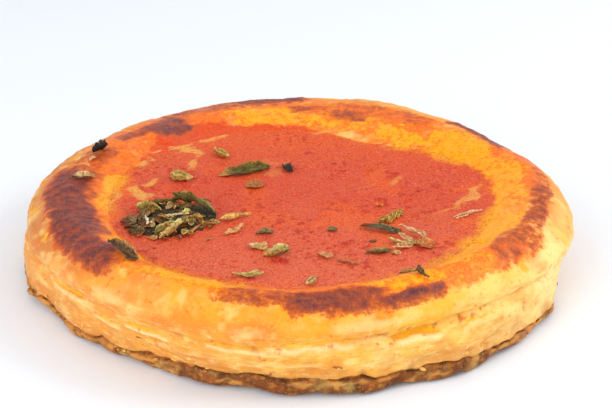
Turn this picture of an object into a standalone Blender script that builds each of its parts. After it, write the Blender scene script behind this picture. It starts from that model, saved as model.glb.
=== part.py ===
"""A round puff pastry pizza: a laminated pastry disc with a risen rim, tomato sauce in its
dished middle, a heap of dried herb on the sauce and one large herb leaf beside it.

Blender 4.5, metres, +Z up. The origin is on the underside, at the point that the outline's
radii are measured from, and -Y is the front. Sizes below are in millimetres, and directions
are degrees from +X.
"""

import math

import bmesh
import bpy
from mathutils import Matrix, Vector

MM = 0.001

# Driving dimensions.
RIM_RADIUS = 51.2  # mean radius of the shoulder, the widest part of the side
RIM_HEIGHT = 16.5  # mean height of the crest of the rim
BASE_SHARE = 0.97  # radius of the base strip as a share of the shoulder's
CREST_SHARE = 0.87  # radius of the crest as a share of the shoulder's
SAUCE_RADIUS = 36.4
SAUCE_LEVEL = 14.1  # height of the sauce at its edge
SAUCE_DOME = 0.25  # how far the sauce's middle stands above its edge
SAUCE_DEPTH = 1.5
SAUCE_TOP_SHARES, SAUCE_UNDER_SHARES = (0.3, 0.6, 0.85), (0.65, 0.3)  # rings as shares of the edge
SAUCE_ROUNDING = ((0.5, 0.0), (0.1, 0.2), (0.6, 0.65))  # (inset, drop) of the rounded edge
SAUCE_UNDER_INSET = 1.5
GAP = 0.35  # clearance between touching pieces

# A wave is (count round the disc, height, direction of a top in degrees times the count).
SHOULDER_WAVES = ((2, 0.8, 227), (3, 0.5, -27), (4, 1.0, -38), (5, 0.4, -71), (11, 0.15, 50))
BASE_WAVES = ((1, 1.8, 240), (2, 0.9, -85), (3, 1.5, -152), (13, 0.35, 20), (22, 0.25, 140))
HEIGHT_WAVES = ((1, 0.5, 5), (2, 0.4, 77), (7, 0.12, 30))
CREST_WAVES = ((1, 1.4, 285), (6, 0.3, 90))
LIFT_WAVES = ((9, 0.25, 150), (16, 0.25, 30))
SEAM_WAVES = ((2, 0.25, 200), (9, 0.3, 60))
SAUCE_WAVES = ((1, 4.8, 285), (3, 0.5, 40), (5, 0.4, 100))

# A dent is (direction, half width in degrees, depth).
SHOULDER_DENT = (172, 30, 0.7)
BASE_DENT = (341, 11, 1.7)
BASE_BULGE = (305, 30, 0.9)  # a dent outwards
CREST_DENT = (262, 55, 1.2)
SAUCE_DENT = (58, 20, 4.0)  # the edge of a bare patch

# The side, from the underside up: (share of the way from the base's radius to the shoulder's,
# inset, share of the rim's height).
FLAT_EDGE = (0.0, 2.6, 0.0)
STRIP_CORNER = (0.0, 0.7, 0.025)
STRIP_FACE = (0.0, 0.0, 0.11)
STRIP_CREASE = (0.0, 0.75, 0.20)
LOWER_LAYERS = ((0.05, 0.1, 0.27), (0.3, -0.25, 0.37), (0.6, -0.1, 0.47))
SEAM = (0.8, 0.3, 0.545)
UPPER_LAYERS = ((1.0, 0.15, 0.61), (1.0, 0.0, 0.69), (1.0, 0.45, 0.78))
SHOULDER = ((1.0, 1.5, 0.87), (1.0, 3.3, 0.945))
MEAN_LIFT = 0.45  # how far the corner of the base strip stands off the table
FACE_LIFT_SHARE = 0.3  # share of that lift that the strip's face takes
MEAN_SEAM_DEPTH = 0.6

# The dish, from the crest inwards: share of the way from the crest to the sauce's edge, and
# share of the way down from the crest to the sauce's level.
DISH_SLOPE = ((0.28, 0.05), (0.55, 0.35), (0.8, 0.75), (1.0, 1.0))
WALL_INSET, WALL_DROP = 0.25, 0.75  # the steep edge under the sauce
FLOOR_INSET = 1.3
FLOOR_SHARES = (0.7, 0.35)

AZIMUTHS = 96

HEAP_CENTRE = (-21.8, -15.2)
HEAP_RADII = (8.2, 8.6)
HEAP_HEIGHT = 3.2
HEAP_OUTLINE = ((2, 0.08, 40), (3, 0.09, 210), (5, 0.05, 20))  # shares of the radius
HEAP_FOOT = 0.95  # radius of the heap's flat underside, as a share of its widest
HEAP_PROFILE = ((1.0, 0.1), (0.95, 0.4), (0.72, 0.72), (0.4, 0.94))  # shares of radius, height
HEAP_RIDGES, HEAP_RIDGE_SHARE = 3, 0.12  # low ridges that run up the heap, as a share of its height
HEAP_AZIMUTHS = 28

LEAF_LENGTH, LEAF_WIDTH, LEAF_THICKNESS = 11.2, 3.0, 0.5
LEAF_SAG = 0.5  # how far the leaf's middle line dips between its tips
LEAF_CUP = 0.9  # how far the leaf's edges stand above its middle line
LEAF_CENTRE = (-9.6, 7.8)
LEAF_TURN, LEAF_TILT = 25, 5  # degrees
LEAF_TIP = 0.985  # share of the half length where the leaf's blunt end starts
LEAF_SLIMMING = 0.75  # under 1 keeps the leaf broad towards its tips
LEAF_EDGE_SHARE = 0.3  # share of the thickness that is left at the tips
LEAF_SECTIONS, LEAF_STRIPS = 12, 4


def waves(shape, angle):
    return sum(top * math.cos(count * angle - math.radians(turn)) for count, top, turn in shape)


def dent(shape, angle):
    direction, half_width, depth = shape
    off = math.remainder(angle - math.radians(direction), 2 * math.pi)
    return depth * math.exp(-((off / math.radians(half_width)) ** 2))


def shoulder_radius(angle):
    return RIM_RADIUS + waves(SHOULDER_WAVES, angle) - dent(SHOULDER_DENT, angle)


def base_radius(angle):
    swell = dent(BASE_BULGE, angle) - dent(BASE_DENT, angle)
    return BASE_SHARE * shoulder_radius(angle) + waves(BASE_WAVES, angle) + swell


def crest_radius(angle):
    return CREST_SHARE * shoulder_radius(angle) + waves(CREST_WAVES, angle) - dent(CREST_DENT, angle)


def crest_height(angle):
    return RIM_HEIGHT + waves(HEIGHT_WAVES, angle)


def sauce_radius(angle):
    return SAUCE_RADIUS + waves(SAUCE_WAVES, angle) - dent(SAUCE_DENT, angle)


def sauce_top(share):
    """Height of the sauce at this share of its radius."""
    return SAUCE_LEVEL + SAUCE_DOME * (1 - share**2)


def side_points(angle):
    """(radius, height) points up the outer side, from the flat underside to the shoulder."""
    base, shoulder = base_radius(angle), shoulder_radius(angle)
    height = crest_height(angle)
    lift = MEAN_LIFT + waves(LIFT_WAVES, angle)
    seam_depth = MEAN_SEAM_DEPTH + waves(SEAM_WAVES, angle)

    def point(station, more_inset=0.0, more_height=0.0):
        share, inset, rise = station
        return base + share * (shoulder - base) - inset - more_inset, height * rise + more_height

    return [
        point(FLAT_EDGE),
        point(STRIP_CORNER, more_height=lift),
        point(STRIP_FACE, more_height=FACE_LIFT_SHARE * lift),
        point(STRIP_CREASE),
        *(point(station) for station in LOWER_LAYERS),
        point(SEAM, more_inset=seam_depth),
        *(point(station) for station in UPPER_LAYERS),
        *(point(station) for station in SHOULDER),
    ]


def dish_points(angle):
    """(radius, height) points from the crest of the rim down into the dish, under the sauce."""
    crest, top, edge = crest_radius(angle), crest_height(angle), sauce_radius(angle)
    floor = SAUCE_LEVEL + SAUCE_DOME - SAUCE_DEPTH - GAP
    found = [(crest, top)]
    for inwards, down in DISH_SLOPE:
        found.append((crest + inwards * (edge - crest), top + down * (SAUCE_LEVEL - top)))
    found.append((edge - WALL_INSET, SAUCE_LEVEL - WALL_DROP))
    found.append((edge - FLOOR_INSET, floor))
    found += [(edge * share, floor) for share in FLOOR_SHARES]
    return found


def sauce_points(angle):
    """(radius, height) points over the sauce, from its middle to its edge and back underneath."""
    edge = sauce_radius(angle) - GAP
    bottom = SAUCE_LEVEL + SAUCE_DOME - SAUCE_DEPTH
    over = [(edge * share, sauce_top(share)) for share in SAUCE_TOP_SHARES]
    rounded = [(edge - inset, SAUCE_LEVEL - drop) for inset, drop in SAUCE_ROUNDING]
    under = [(edge - SAUCE_UNDER_INSET, bottom)]
    under += [(edge * share, bottom) for share in SAUCE_UNDER_SHARES]
    return over + rounded + under


def material(name, colour, roughness):
    made = bpy.data.materials.new(name)
    made.use_nodes = True
    shader = made.node_tree.nodes["Principled BSDF"]
    shader.inputs["Base Color"].default_value = (*colour, 1)
    shader.inputs["Roughness"].default_value = roughness
    shader.inputs["Metallic"].default_value = 0
    made.diffuse_color = (*colour, 1)
    return made


def object_from(name, mesh_data, surface, crease_degrees=35):
    """The bmesh as a smooth-shaded object, with its faces turned outwards."""
    bmesh.ops.recalc_face_normals(mesh_data, faces=mesh_data.faces)
    mesh = bpy.data.meshes.new(name)
    mesh_data.to_mesh(mesh)
    mesh_data.free()
    mesh.shade_smooth()
    mesh.set_sharp_from_angle(angle=math.radians(crease_degrees))
    mesh.materials.append(surface)
    made = bpy.data.objects.new(name, mesh)
    bpy.context.collection.objects.link(made)
    return made


def turned(points_at, azimuths, first_height, last_height):
    """A closed bmesh whose outline at each azimuth is points_at(angle), from first_height in the
    middle to last_height in the middle."""
    made = bmesh.new()
    rings = []
    for step in range(azimuths):
        angle = 2 * math.pi * step / azimuths
        spoke = [(r * math.cos(angle), r * math.sin(angle), z) for r, z in points_at(angle)]
        rings.append([made.verts.new(Vector(point) * MM) for point in spoke])
    first = made.verts.new((0, 0, first_height * MM))
    last = made.verts.new((0, 0, last_height * MM))
    for here, there in zip(rings, rings[1:] + rings[:1]):
        made.faces.new((first, here[0], there[0]))
        for low in range(len(here) - 1):
            made.faces.new((here[low], here[low + 1], there[low + 1], there[low]))
        made.faces.new((here[-1], last, there[-1]))
    return made


def add_pastry(surface):
    floor = SAUCE_LEVEL + SAUCE_DOME - SAUCE_DEPTH - GAP
    body = turned(lambda angle: side_points(angle) + dish_points(angle), AZIMUTHS, 0.0, floor)
    return object_from("pastry", body, surface)


def add_sauce(surface):
    bottom = SAUCE_LEVEL + SAUCE_DOME - SAUCE_DEPTH
    return object_from("sauce", turned(sauce_points, AZIMUTHS, sauce_top(0), bottom), surface)


def add_herb_heap(surface):
    """The heap out to its uneven outline, resting on the sauce."""

    def points(angle):
        wide = math.hypot(HEAP_RADII[0] * math.cos(angle), HEAP_RADII[1] * math.sin(angle))
        outline = wide * (1 + waves(HEAP_OUTLINE, angle))
        ridge = 1 + HEAP_RIDGE_SHARE * math.cos(HEAP_RIDGES * angle)
        return [(outline * HEAP_FOOT, 0.0)] + [
            (outline * share, HEAP_HEIGHT * rise * ridge) for share, rise in HEAP_PROFILE
        ]

    body = turned(points, HEAP_AZIMUTHS, 0.0, HEAP_HEIGHT)
    heap = object_from("herb_heap", body, surface)
    rest = SAUCE_LEVEL + SAUCE_DOME + GAP
    heap.location = Vector((*HEAP_CENTRE, rest)) * MM
    return heap


def leaf_point(along, across, side):
    """A point on the leaf's upper (side 1) or lower (side -1) face. along and across run from
    -1 to 1 over its length and width."""
    narrow = (1 - along**2) ** LEAF_SLIMMING
    rise = LEAF_CUP * narrow * across**2 - LEAF_SAG * (1 - along**2)
    thick = LEAF_THICKNESS / 2 * (LEAF_EDGE_SHARE + (1 - LEAF_EDGE_SHARE) * narrow)
    return Vector((
        LEAF_LENGTH / 2 * along,
        LEAF_WIDTH / 2 * narrow * across,
        rise + side * thick,
    )) * MM


def add_large_leaf(surface):
    """A cupped leaf, pointed at both ends, that lies on the sauce."""
    made = bmesh.new()
    sheets = []
    for side in (1, -1):
        rows = []
        for i in range(LEAF_SECTIONS + 1):
            along = LEAF_TIP * (2 * i / LEAF_SECTIONS - 1)
            across = [2 * j / LEAF_STRIPS - 1 for j in range(LEAF_STRIPS + 1)]
            rows.append([made.verts.new(leaf_point(along, c, side)) for c in across])
        sheets.append(rows)
    for rows in sheets:
        for here, there in zip(rows, rows[1:]):
            for j in range(LEAF_STRIPS):
                made.faces.new((here[j], here[j + 1], there[j + 1], there[j]))
    upper, lower = sheets
    rim_up = upper[0] + [row[-1] for row in upper[1:]] + upper[-1][-2::-1]
    rim_up += [row[0] for row in upper[-2:0:-1]]
    rim_low = lower[0] + [row[-1] for row in lower[1:]] + lower[-1][-2::-1]
    rim_low += [row[0] for row in lower[-2:0:-1]]
    for k in range(len(rim_up)):
        after = (k + 1) % len(rim_up)
        made.faces.new((rim_up[k], rim_up[after], rim_low[after], rim_low[k]))
    leaf = object_from("large_leaf", made, surface)
    rest = SAUCE_LEVEL + SAUCE_DOME + GAP + LEAF_SAG + LEAF_THICKNESS
    turn = Matrix.Rotation(math.radians(LEAF_TURN), 4, "Z")
    tilt = Matrix.Rotation(math.radians(-LEAF_TILT), 4, "Y")
    leaf.matrix_world = Matrix.Translation(Vector((*LEAF_CENTRE, rest)) * MM) @ turn @ tilt
    return leaf


def main():
    for obj in list(bpy.data.objects):
        bpy.data.objects.remove(obj)
    baked = material("baked_pastry", (0.83, 0.42, 0.10), 0.5)
    tomato = material("tomato_sauce", (0.62, 0.06, 0.03), 0.35)
    herb = material("dried_herb", (0.11, 0.10, 0.03), 0.8)
    add_pastry(baked)
    add_sauce(tomato)
    add_herb_heap(herb)
    add_large_leaf(herb)


main()
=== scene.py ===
"""Looks of the round puff pastry pizza: laminated golden side, burnt and oily rim, tomato sauce
and dried oregano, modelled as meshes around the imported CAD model.

Blender 4.5. Lengths in the tables below are millimetres, directions are degrees from +X (the
front, towards the camera, is 270), and colours are sRGB out of 255. SEED fixes every random draw,
and the whole number after the size in each call of noise is that pattern's own seed.
"""

import math

import bpy
import numpy as np
from mathutils import Matrix, Vector
from mathutils.bvhtree import BVHTree


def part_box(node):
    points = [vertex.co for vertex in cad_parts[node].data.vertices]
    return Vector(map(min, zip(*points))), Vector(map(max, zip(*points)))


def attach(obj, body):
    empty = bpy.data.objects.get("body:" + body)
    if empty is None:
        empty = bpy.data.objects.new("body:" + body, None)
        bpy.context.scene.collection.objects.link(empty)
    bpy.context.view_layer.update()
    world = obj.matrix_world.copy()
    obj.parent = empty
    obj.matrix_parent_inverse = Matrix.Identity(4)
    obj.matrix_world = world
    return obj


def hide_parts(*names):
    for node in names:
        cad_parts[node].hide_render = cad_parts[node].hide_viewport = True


MM = 0.001
SEED = 7
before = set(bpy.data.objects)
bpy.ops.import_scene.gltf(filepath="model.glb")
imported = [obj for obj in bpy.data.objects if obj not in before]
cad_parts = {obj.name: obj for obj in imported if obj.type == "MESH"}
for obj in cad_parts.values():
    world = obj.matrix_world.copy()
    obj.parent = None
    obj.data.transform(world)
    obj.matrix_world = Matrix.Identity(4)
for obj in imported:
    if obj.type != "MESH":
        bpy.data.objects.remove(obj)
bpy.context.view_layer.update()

# ---------------------------------------------------------------- camera and light
CAMERA_ELEVATION = 24.0  # degrees above the table
CAMERA_DISTANCE = 280.0
CAMERA_LENS = 86.1  # on a 36 mm sensor
CAMERA_AIM = (2.3, 1.2, 10.5)
SOFTBOXES = (  # (name, place, size, watts)
    ("key", (430, 30, 320), 240, 1.05),
    ("fill", (-260, -380, 230), 340, 1.2),
)
SOFTBOX_AIM = (0, 0, 8)
WORLD_COLOUR = (0.985, 0.99, 1.0, 1)  # linear, of the light from all around
WORLD_STRENGTH = 0.81
TABLE_COLOUR = (241, 245, 250)
TABLE_REACH = 3000  # half the table's side

# ---------------------------------------------------------------- the pastry's measures
COLUMNS = 760  # round the disc
CAD_STEPS = 96  # the CAD solids' points lie at this many even directions
HARMONICS = 30  # kept when a CAD outline is smoothed
SHOULDER_BAND = (0.62, 0.72)  # where the shoulder is read, as shares of the pastry's height
BASE_BAND = (0.06, 0.14)  # the same for the base
CREST_SINK = 0.45  # leaves room under the CAD solid's top for the relief
SAUCE_SINK = 0.25  # the sauce's rim under the CAD sauce's top
FLOOR_SINK = 0.35  # the dish's floor under the CAD sauce's underside
UNDERSIDE = 0.02  # height of the flat underside over the table

# The sauce-red area's edge: (direction, radius).
RED_EDGE = (
    (0, 38.5), (15, 36.5), (30, 32.5), (45, 28.5), (60, 26.5), (75, 29), (90, 33), (105, 34.5),
    (120, 37), (135, 37.5), (150, 34), (165, 32), (180, 30.5), (195, 33.5), (210, 36), (225, 38.6),
    (240, 38.8), (255, 39.8), (270, 40.4), (285, 40.4), (300, 40.4), (315, 39), (330, 37), (345, 37),
)  # fmt: skip

# Burnt patches on the rim: (from, to direction, inner, outer radius, darkness).
BURNS = (
    (166, 204, 38.5, 46.5, 1.02),
    (190, 216, 38.6, 47.4, 1.05),
    (206, 231, 41.8, 48.6, 1.0),
    (154, 176, 38.5, 44.0, 0.55),
    (131, 151, 40.5, 43.4, 0.8),
    (123, 137, 36.0, 44.0, 0.95),
    (92, 130, 41.5, 50.0, 0.55),
    (85, 109, 43.0, 49.0, 0.95),
    (79, 93, 38.5, 41.0, 0.6),
    (65, 81, 35.0, 39.5, 0.65),
    (44, 60, 37.5, 41.5, 0.4),
    (48, 84, 36.5, 42.5, 0.36),
    (18, 45, 42.5, 47.5, 0.95),
    (-8, 18, 45.8, 48.4, 0.42),
    (-44, -22, 44.2, 49.2, 0.58),
    (-27, -3, 44.4, 48.2, 0.66),
    (298, 322, 48.2, 51.0, 0.4),
    (285, 303, 46.8, 50.8, 1.1),
    (266, 290, 45.4, 49.8, 0.95),
    (252, 274, 45.2, 48.6, 0.6),
)  # fmt: skip

# Oily yellow-orange ring: (from, to direction, inner, outer radius, yellowness).
OILS = (
    (8, 42, 31.5, 41.5, 0.95),
    (36, 64, 29.5, 35.5, 0.85),
    (38, 92, 34.5, 42.0, 0.3),
    (56, 92, 31.0, 38.0, 0.6),
    (86, 112, 33.5, 40.5, 0.9),
    (108, 166, 31.5, 44.5, 0.12),
    (158, 208, 31.5, 41.5, 0.1),
    (166, 188, 32.6, 36.4, 0.95),
    (182, 200, 34.0, 37.8, 0.8),
    (200, 240, 36.5, 44.0, 0.5),
    (232, 262, 40.0, 46.0, 0.8),
    (258, 288, 40.0, 46.5, 0.25),
    (284, 304, 40.0, 47.0, 0.7),
    (296, 350, 36.5, 44.5, 1.0),
    (298, 332, 42.0, 50.5, 0.4),
    (345, 376, 37.5, 44.5, 0.75),
    (-15, 30, 41.0, 47.0, 0.05),
)  # fmt: skip

# Pale bare patches and streaks within the top: (x, y, half length, half width, turn, strength).
BARES = (
    (9.5, 29.0, 7.5, 1.9, 168, 0.85),
    (19.5, 24.5, 7.0, 1.7, 150, 0.75),
    (-27.6, 18.8, 4.4, 1.2, 64, 0.9),
    (-24.3, 22.6, 3.8, 2.0, 17, 0.95),
    (-21.1, 19.3, 4.8, 1.2, 112, 0.9),
    (-20.2, 12.9, 3.0, 1.0, 77, 0.8),
    (-18.1, 27.5, 3.9, 1.5, 52, 0.95),
    (-30.0, 11.8, 2.6, 1.6, 40, 0.9),
    (-29.0, -2.0, 4.4, 1.6, 96, 0.95),
    (-27.8, 3.4, 2.2, 1.1, 50, 0.85),
    (-34.2, -2.8, 5.4, 1.0, 98, 0.75),
    (33.4, -2.5, 6.6, 0.8, 66, 0.7),
    (29.0, -9.0, 3.5, 0.5, 40, 0.5),
    (19.5, 3.0, 3.0, 0.6, 60, 0.45),
    (-4.0, 12.0, 2.5, 3.5, 0, 0.25),
)  # fmt: skip

# Dark-red lumps and smears in the sauce: (x, y, radius).
RED_LUMPS = (
    (2.6, 18.0, 1.3), (2.2, -16.0, 1.2), (9.4, -24.0, 1.5), (-2.4, -31.5, 1.6), (14.0, 14.5, 1.1),
    (24.5, -1.0, 1.3), (27.0, 0.5, 1.0), (22.0, -27.0, 1.6), (-2.0, -15.5, 1.0), (7.0, 4.0, 0.8),
    (12.5, 3.5, 0.7), (20.0, 7.0, 0.8), (0.5, -19.5, 1.1), (5.0, -18.0, 0.8), (-15.5, -26.5, 0.6),
    (18.0, -31.0, 1.2), (29.5, -8.0, 0.9), (8.0, 12.0, 0.7), (-1.0, 10.5, 0.6), (13.0, -33.5, 0.9),
)  # fmt: skip

# Open slots between the layers of the side: (from, to direction, height, half height, depth).
SLOTS = (
    (265, 282, 9.6, 0.45, 0.5),
    (289, 299, 8.8, 0.55, 0.5),
    (254, 266, 9.2, 0.22, 0.35),
    (281, 288, 9.8, 0.14, 0.3),
    (236, 247, 8.3, 0.26, 0.6),
    (227, 235, 7.6, 0.24, 0.6),
    (303, 310, 8.4, 0.14, 0.35),
    (212, 224, 8.8, 0.18, 0.4),
    (264, 276, 6.6, 0.12, 0.25),
    (240, 252, 6.4, 0.14, 0.3),
)  # fmt: skip
UNSEEN_SIDE = (325, 565)  # the directions whose slots and lifts are drawn at random
UNSEEN_MARGIN = 8  # degrees at their ends that stay free
UNSEEN_LIFTS = 9

# Upright cracks in the rim's shell: (direction, half width, lowest, highest height, depth).
FISSURES = (
    (274, 0.5, 12.2, 14.6, 0.15), (323, 0.9, 12.0, 15.5, 0.45), (264, 0.5, 10.5, 14.5, 0.12),
    (247, 0.6, 11.5, 15.0, 0.2), (204, 0.7, 12.6, 15.6, 0.4), (217, 0.5, 11.5, 14.0, 0.12),
    (338, 0.7, 11.0, 15.0, 0.2), (288, 0.5, 9.5, 13.5, 0.12), (301, 0.5, 10.0, 14.0, 0.12),
    (15, 0.8, 11.0, 15.0, 0.3), (52, 0.7, 11.5, 15.5, 0.3), (95, 0.8, 11.0, 15.0, 0.25),
    (140, 0.7, 12.0, 15.5, 0.3), (171, 0.6, 11.5, 15.0, 0.2),
)  # fmt: skip

# Where the baked base curls up off the table: (direction, half width, lift).
LIFTS = (
    (236, 4, 0.6), (262, 4, 0.6), (289.5, 3, 0.35), (301.5, 2.5, 0.7), (312, 4, 0.8), (214, 3, 0.5),
    (327, 5, 0.8), (203, 5, 1.0), (250, 2, 0.3), (274, 2.5, 0.3),
)  # fmt: skip

# Height of the brown base strip: (direction, height).
STRIP_HEIGHTS = (
    (0, 2.2), (40, 2.8), (80, 2.4), (120, 3.0), (160, 2.4), (190, 3.2), (205, 2.4), (220, 1.8),
    (235, 2.2), (245, 3.1), (270, 3.4), (300, 3.0), (315, 2.4), (330, 1.8), (345, 1.6),
)  # fmt: skip


# ---------------------------------------------------------------- arithmetic
def srgb(red, green, blue):
    """Linear colour of sRGB values out of 255."""
    values = np.array([red, green, blue]) / 255
    return np.where(values <= 0.04045, values / 12.92, ((values + 0.055) / 1.055) ** 2.4)


def smooth(low, high, values):
    """0 below low, 1 above high, and a smooth rise between."""
    share = np.clip((values - low) / (high - low), 0, 1)
    return share * share * (3 - 2 * share)


def bump(distance, half_width):
    """1 at no distance, falling smoothly to 0 at half_width."""
    return 1 - smooth(0, 1, np.abs(distance) / half_width)


def off_direction(directions, middle):
    """Signed degrees from middle to each direction."""
    return (directions - middle + 180) % 360 - 180


def round_table(pairs, directions):
    """Values of a table of (direction, value), smoothly read round the disc."""
    at = np.array([pair[0] for pair in pairs], float)
    values = np.array([pair[1] for pair in pairs], float)
    order = np.argsort(at)
    at, values = at[order], values[order]
    at = np.concatenate([at[-2:] - 360, at, at[:2] + 360])
    values = np.concatenate([values[-2:], values, values[:2]])
    spot = np.clip(np.searchsorted(at, directions % 360, "right") - 1, 1, len(at) - 3)
    share = smooth(0, 1, (directions % 360 - at[spot]) / (at[spot + 1] - at[spot]))
    return values[spot] * (1 - share) + values[spot + 1] * share


def lattice(x, y, z, seed):
    """A random value from -1 to 1 at each point of the whole-number lattice."""
    mixed = x * 374761393 + y * 668265263 + z * 1442695041 + seed * 974634777
    mixed = (mixed ^ (mixed >> 13)) & 0xFFFFFFFF
    mixed = (mixed * 1274126177) & 0xFFFFFFFF
    mixed = (mixed ^ (mixed >> 16)) & 0xFFFFFFFF
    return mixed / 0x7FFFFFFF - 1


def noise(points, size, seed, octaves=1):
    """Smooth noise from about -1 to 1 at points (..., 3). size is one length or one per axis."""
    total, weight, gain = 0, 0, 1.0
    scaled = points / np.asarray(size, float)
    for octave in range(octaves):
        place = scaled * 2**octave + 17.3 * octave
        cell = np.floor(place).astype(np.int64)
        share = place - cell
        share = share * share * (3 - 2 * share)
        value = 0
        for dx in (0, 1):
            for dy in (0, 1):
                for dz in (0, 1):
                    corner = lattice(
                        cell[..., 0] + dx, cell[..., 1] + dy, cell[..., 2] + dz, seed + 31 * octave
                    )
                    part = share[..., 0] if dx else 1 - share[..., 0]
                    part = part * (share[..., 1] if dy else 1 - share[..., 1])
                    part = part * (share[..., 2] if dz else 1 - share[..., 2])
                    value = value + corner * part
        total = total + gain * value
        weight += gain
        gain *= 0.5
    return total / weight * 1.5


def spline(stations, counts):
    """Points on a Catmull-Rom curve through stations (columns, stations, 2), with counts[k]
    points in each stretch, and the stretch number that each point lies at."""
    padded = np.concatenate([stations[:, :1], stations, stations[:, -1:]], axis=1)
    rows, marks = [], []
    for k, count in enumerate(counts):
        before, start, end, after = (padded[:, k + i] for i in range(4))
        for step in range(count):
            t = step / count
            rows.append(
                0.5
                * (
                    2 * start
                    + (end - before) * t
                    + (2 * before - 5 * start + 4 * end - after) * t**2
                    + (3 * start - before - 3 * end + after) * t**3
                )
            )
            marks.append(k + t)
    rows.append(stations[:, -1])
    marks.append(len(counts))
    return np.stack(rows, axis=1), np.array(marks)


# ---------------------------------------------------------------- the CAD outlines
def cad_outline(node, low, high, highest=False):
    """Radius and height, for each column, of the CAD solid's outermost (or highest) point whose
    height is between low and high millimetres, smoothed round the disc."""
    points = np.array([v.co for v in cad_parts[node].data.vertices]) / MM
    radius = np.hypot(points[:, 0], points[:, 1])
    step = np.round(np.degrees(np.arctan2(points[:, 1], points[:, 0])) * CAD_STEPS / 360)
    found = np.zeros((CAD_STEPS, 2))
    for k in range(CAD_STEPS):
        near = (step % CAD_STEPS == k) & (points[:, 2] > low) & (points[:, 2] < high)
        near &= radius > 1  # not the middle point, which has no direction
        rank = points[near, 2] if highest else radius[near]
        best = np.argmax(rank)
        found[k] = radius[near][best], points[near, 2][best]
    waves = np.fft.rfft(found, axis=0)
    waves[HARMONICS:] = 0
    wide = np.zeros((COLUMNS // 2 + 1, 2), complex)
    wide[: len(waves)] = waves
    return np.fft.irfft(wide, COLUMNS, axis=0) * COLUMNS / CAD_STEPS


DIRECTIONS = np.arange(COLUMNS) * 360 / COLUMNS
PASTRY_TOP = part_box("pastry")[1].z / MM
SAUCE_LOW, SAUCE_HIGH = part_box("sauce")[0].z / MM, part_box("sauce")[1].z / MM
SHOULDER = cad_outline("pastry", *(share * PASTRY_TOP for share in SHOULDER_BAND))[:, 0]
BASE = cad_outline("pastry", *(share * PASTRY_TOP for share in BASE_BAND))[:, 0]
CREST, CREST_HEIGHT = cad_outline("pastry", 0, 2 * PASTRY_TOP, highest=True).T
CREST_HEIGHT = CREST_HEIGHT - CREST_SINK
EDGE = cad_outline("sauce", 0, SAUCE_HIGH)[:, 0]
SAUCE_LEVEL = SAUCE_HIGH - SAUCE_SINK
FLOOR = SAUCE_LOW - FLOOR_SINK


# ---------------------------------------------------------------- what lies where on the top
def patch(x, y, spot, seed):
    """Strength of one long patch with a ragged edge, at positions x, y."""
    mid_x, mid_y, half_length, half_width, turn, strength = spot
    turn = math.radians(turn)
    along = (x - mid_x) * math.cos(turn) + (y - mid_y) * math.sin(turn)
    across = -(x - mid_x) * math.sin(turn) + (y - mid_y) * math.cos(turn)
    points = np.stack([x, y, np.full_like(x, 3.0 * seed)], axis=-1)
    across = across + 1.3 * half_width * noise(points, 3.5, seed)
    far = np.sqrt((along / half_length) ** 2 + (across / half_width) ** 2)
    far = far + 0.35 * noise(points, 1.6, seed + 50, 2)
    return strength * (1 - smooth(0.55, 1.15, far))


def arc_patch(directions, radii, arc, points, seed):
    """Strength of one arc-shaped patch of the rim, from 0 to 1, with a ragged edge."""
    start, stop, inner, outer, _ = arc
    middle, half = (start + stop) / 2, (stop - start) / 2
    along = np.abs(off_direction(directions, middle)) / half
    across = np.abs(radii - (inner + outer) / 2) / ((outer - inner) / 2)
    ragged = 0.26 * noise(points, 4.0, seed, 3) + 0.10 * noise(points, 1.3, seed + 9, 2)
    far = np.maximum(along, across * (0.82 + 0.3 * along**4)) + ragged
    return 1 - smooth(0.5, 1.2, far)


def top_masks(points):
    """Strengths from 0 to 1 of what covers the top at points (..., 3) in millimetres: sauce, oil,
    how yellow the oil is, bare pastry and burn."""
    x, y = points[..., 0], points[..., 1]
    flat = np.stack([x, y, np.zeros_like(x)], axis=-1)
    radii = np.hypot(x, y)
    directions = np.degrees(np.arctan2(y, x)) % 360
    wander = 1.5 * noise(flat, 6.0, 3, 3) + 0.9 * noise(flat, 1.4, 4, 3)
    beyond = radii - round_table(RED_EDGE, directions) + wander
    red = 1 - smooth(-1.4, 1.6, beyond)
    bare = np.zeros_like(x)
    for k, spot in enumerate(BARES):
        bare = np.maximum(bare, patch(x, y, spot, 60 + k))
    oil, yellow = np.zeros_like(x), np.zeros_like(x)
    for k, arc in enumerate(OILS):
        here = arc_patch(directions, radii, arc, flat, 80 + k)
        oil = np.maximum(oil, here)
        yellow = np.maximum(yellow, here * arc[4])
    burn = np.zeros_like(x)
    for k, arc in enumerate(BURNS):
        burn = np.maximum(burn, arc[4] * arc_patch(directions, radii, arc, flat, 100 + k))
    return red, oil, yellow, bare, burn


# ---------------------------------------------------------------- meshes
def mesh_object(name, points, faces, colours, masks=None):
    """A smooth mesh object. points are in millimetres; colours (linear RGB) and masks (strengths of
    sauce, oil, burn and yellow oil) are values at each point, kept as attributes."""
    mesh = bpy.data.meshes.new(name)
    mesh.from_pydata((np.asarray(points) * MM).tolist(), [], faces)
    for key, values in (("tint", colours), ("masks", masks)):
        if values is None:
            continue
        layer = mesh.color_attributes.new(key, "FLOAT_COLOR", "POINT")
        flat = values if values.shape[1] == 4 else np.insert(values, 3, 1.0, axis=1)
        layer.data.foreach_set("color", flat.astype(np.float32).ravel())
    mesh.shade_smooth()
    mesh.validate()
    made = bpy.data.objects.new(name, mesh)
    bpy.context.scene.collection.objects.link(made)
    return made


def ring_faces(columns, rows, first, last):
    """Faces of a closed round mesh of columns x rows points, with a fan to the point numbered
    first before row 0 and to last after the end row."""
    faces = []
    for i in range(columns):
        j = (i + 1) % columns
        here, there = i * rows, j * rows
        faces.append((first, here, there))
        faces += [(here + k, here + k + 1, there + k + 1, there + k) for k in range(rows - 1)]
        faces.append((here + rows - 1, last, there + rows - 1))
    return faces


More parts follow.
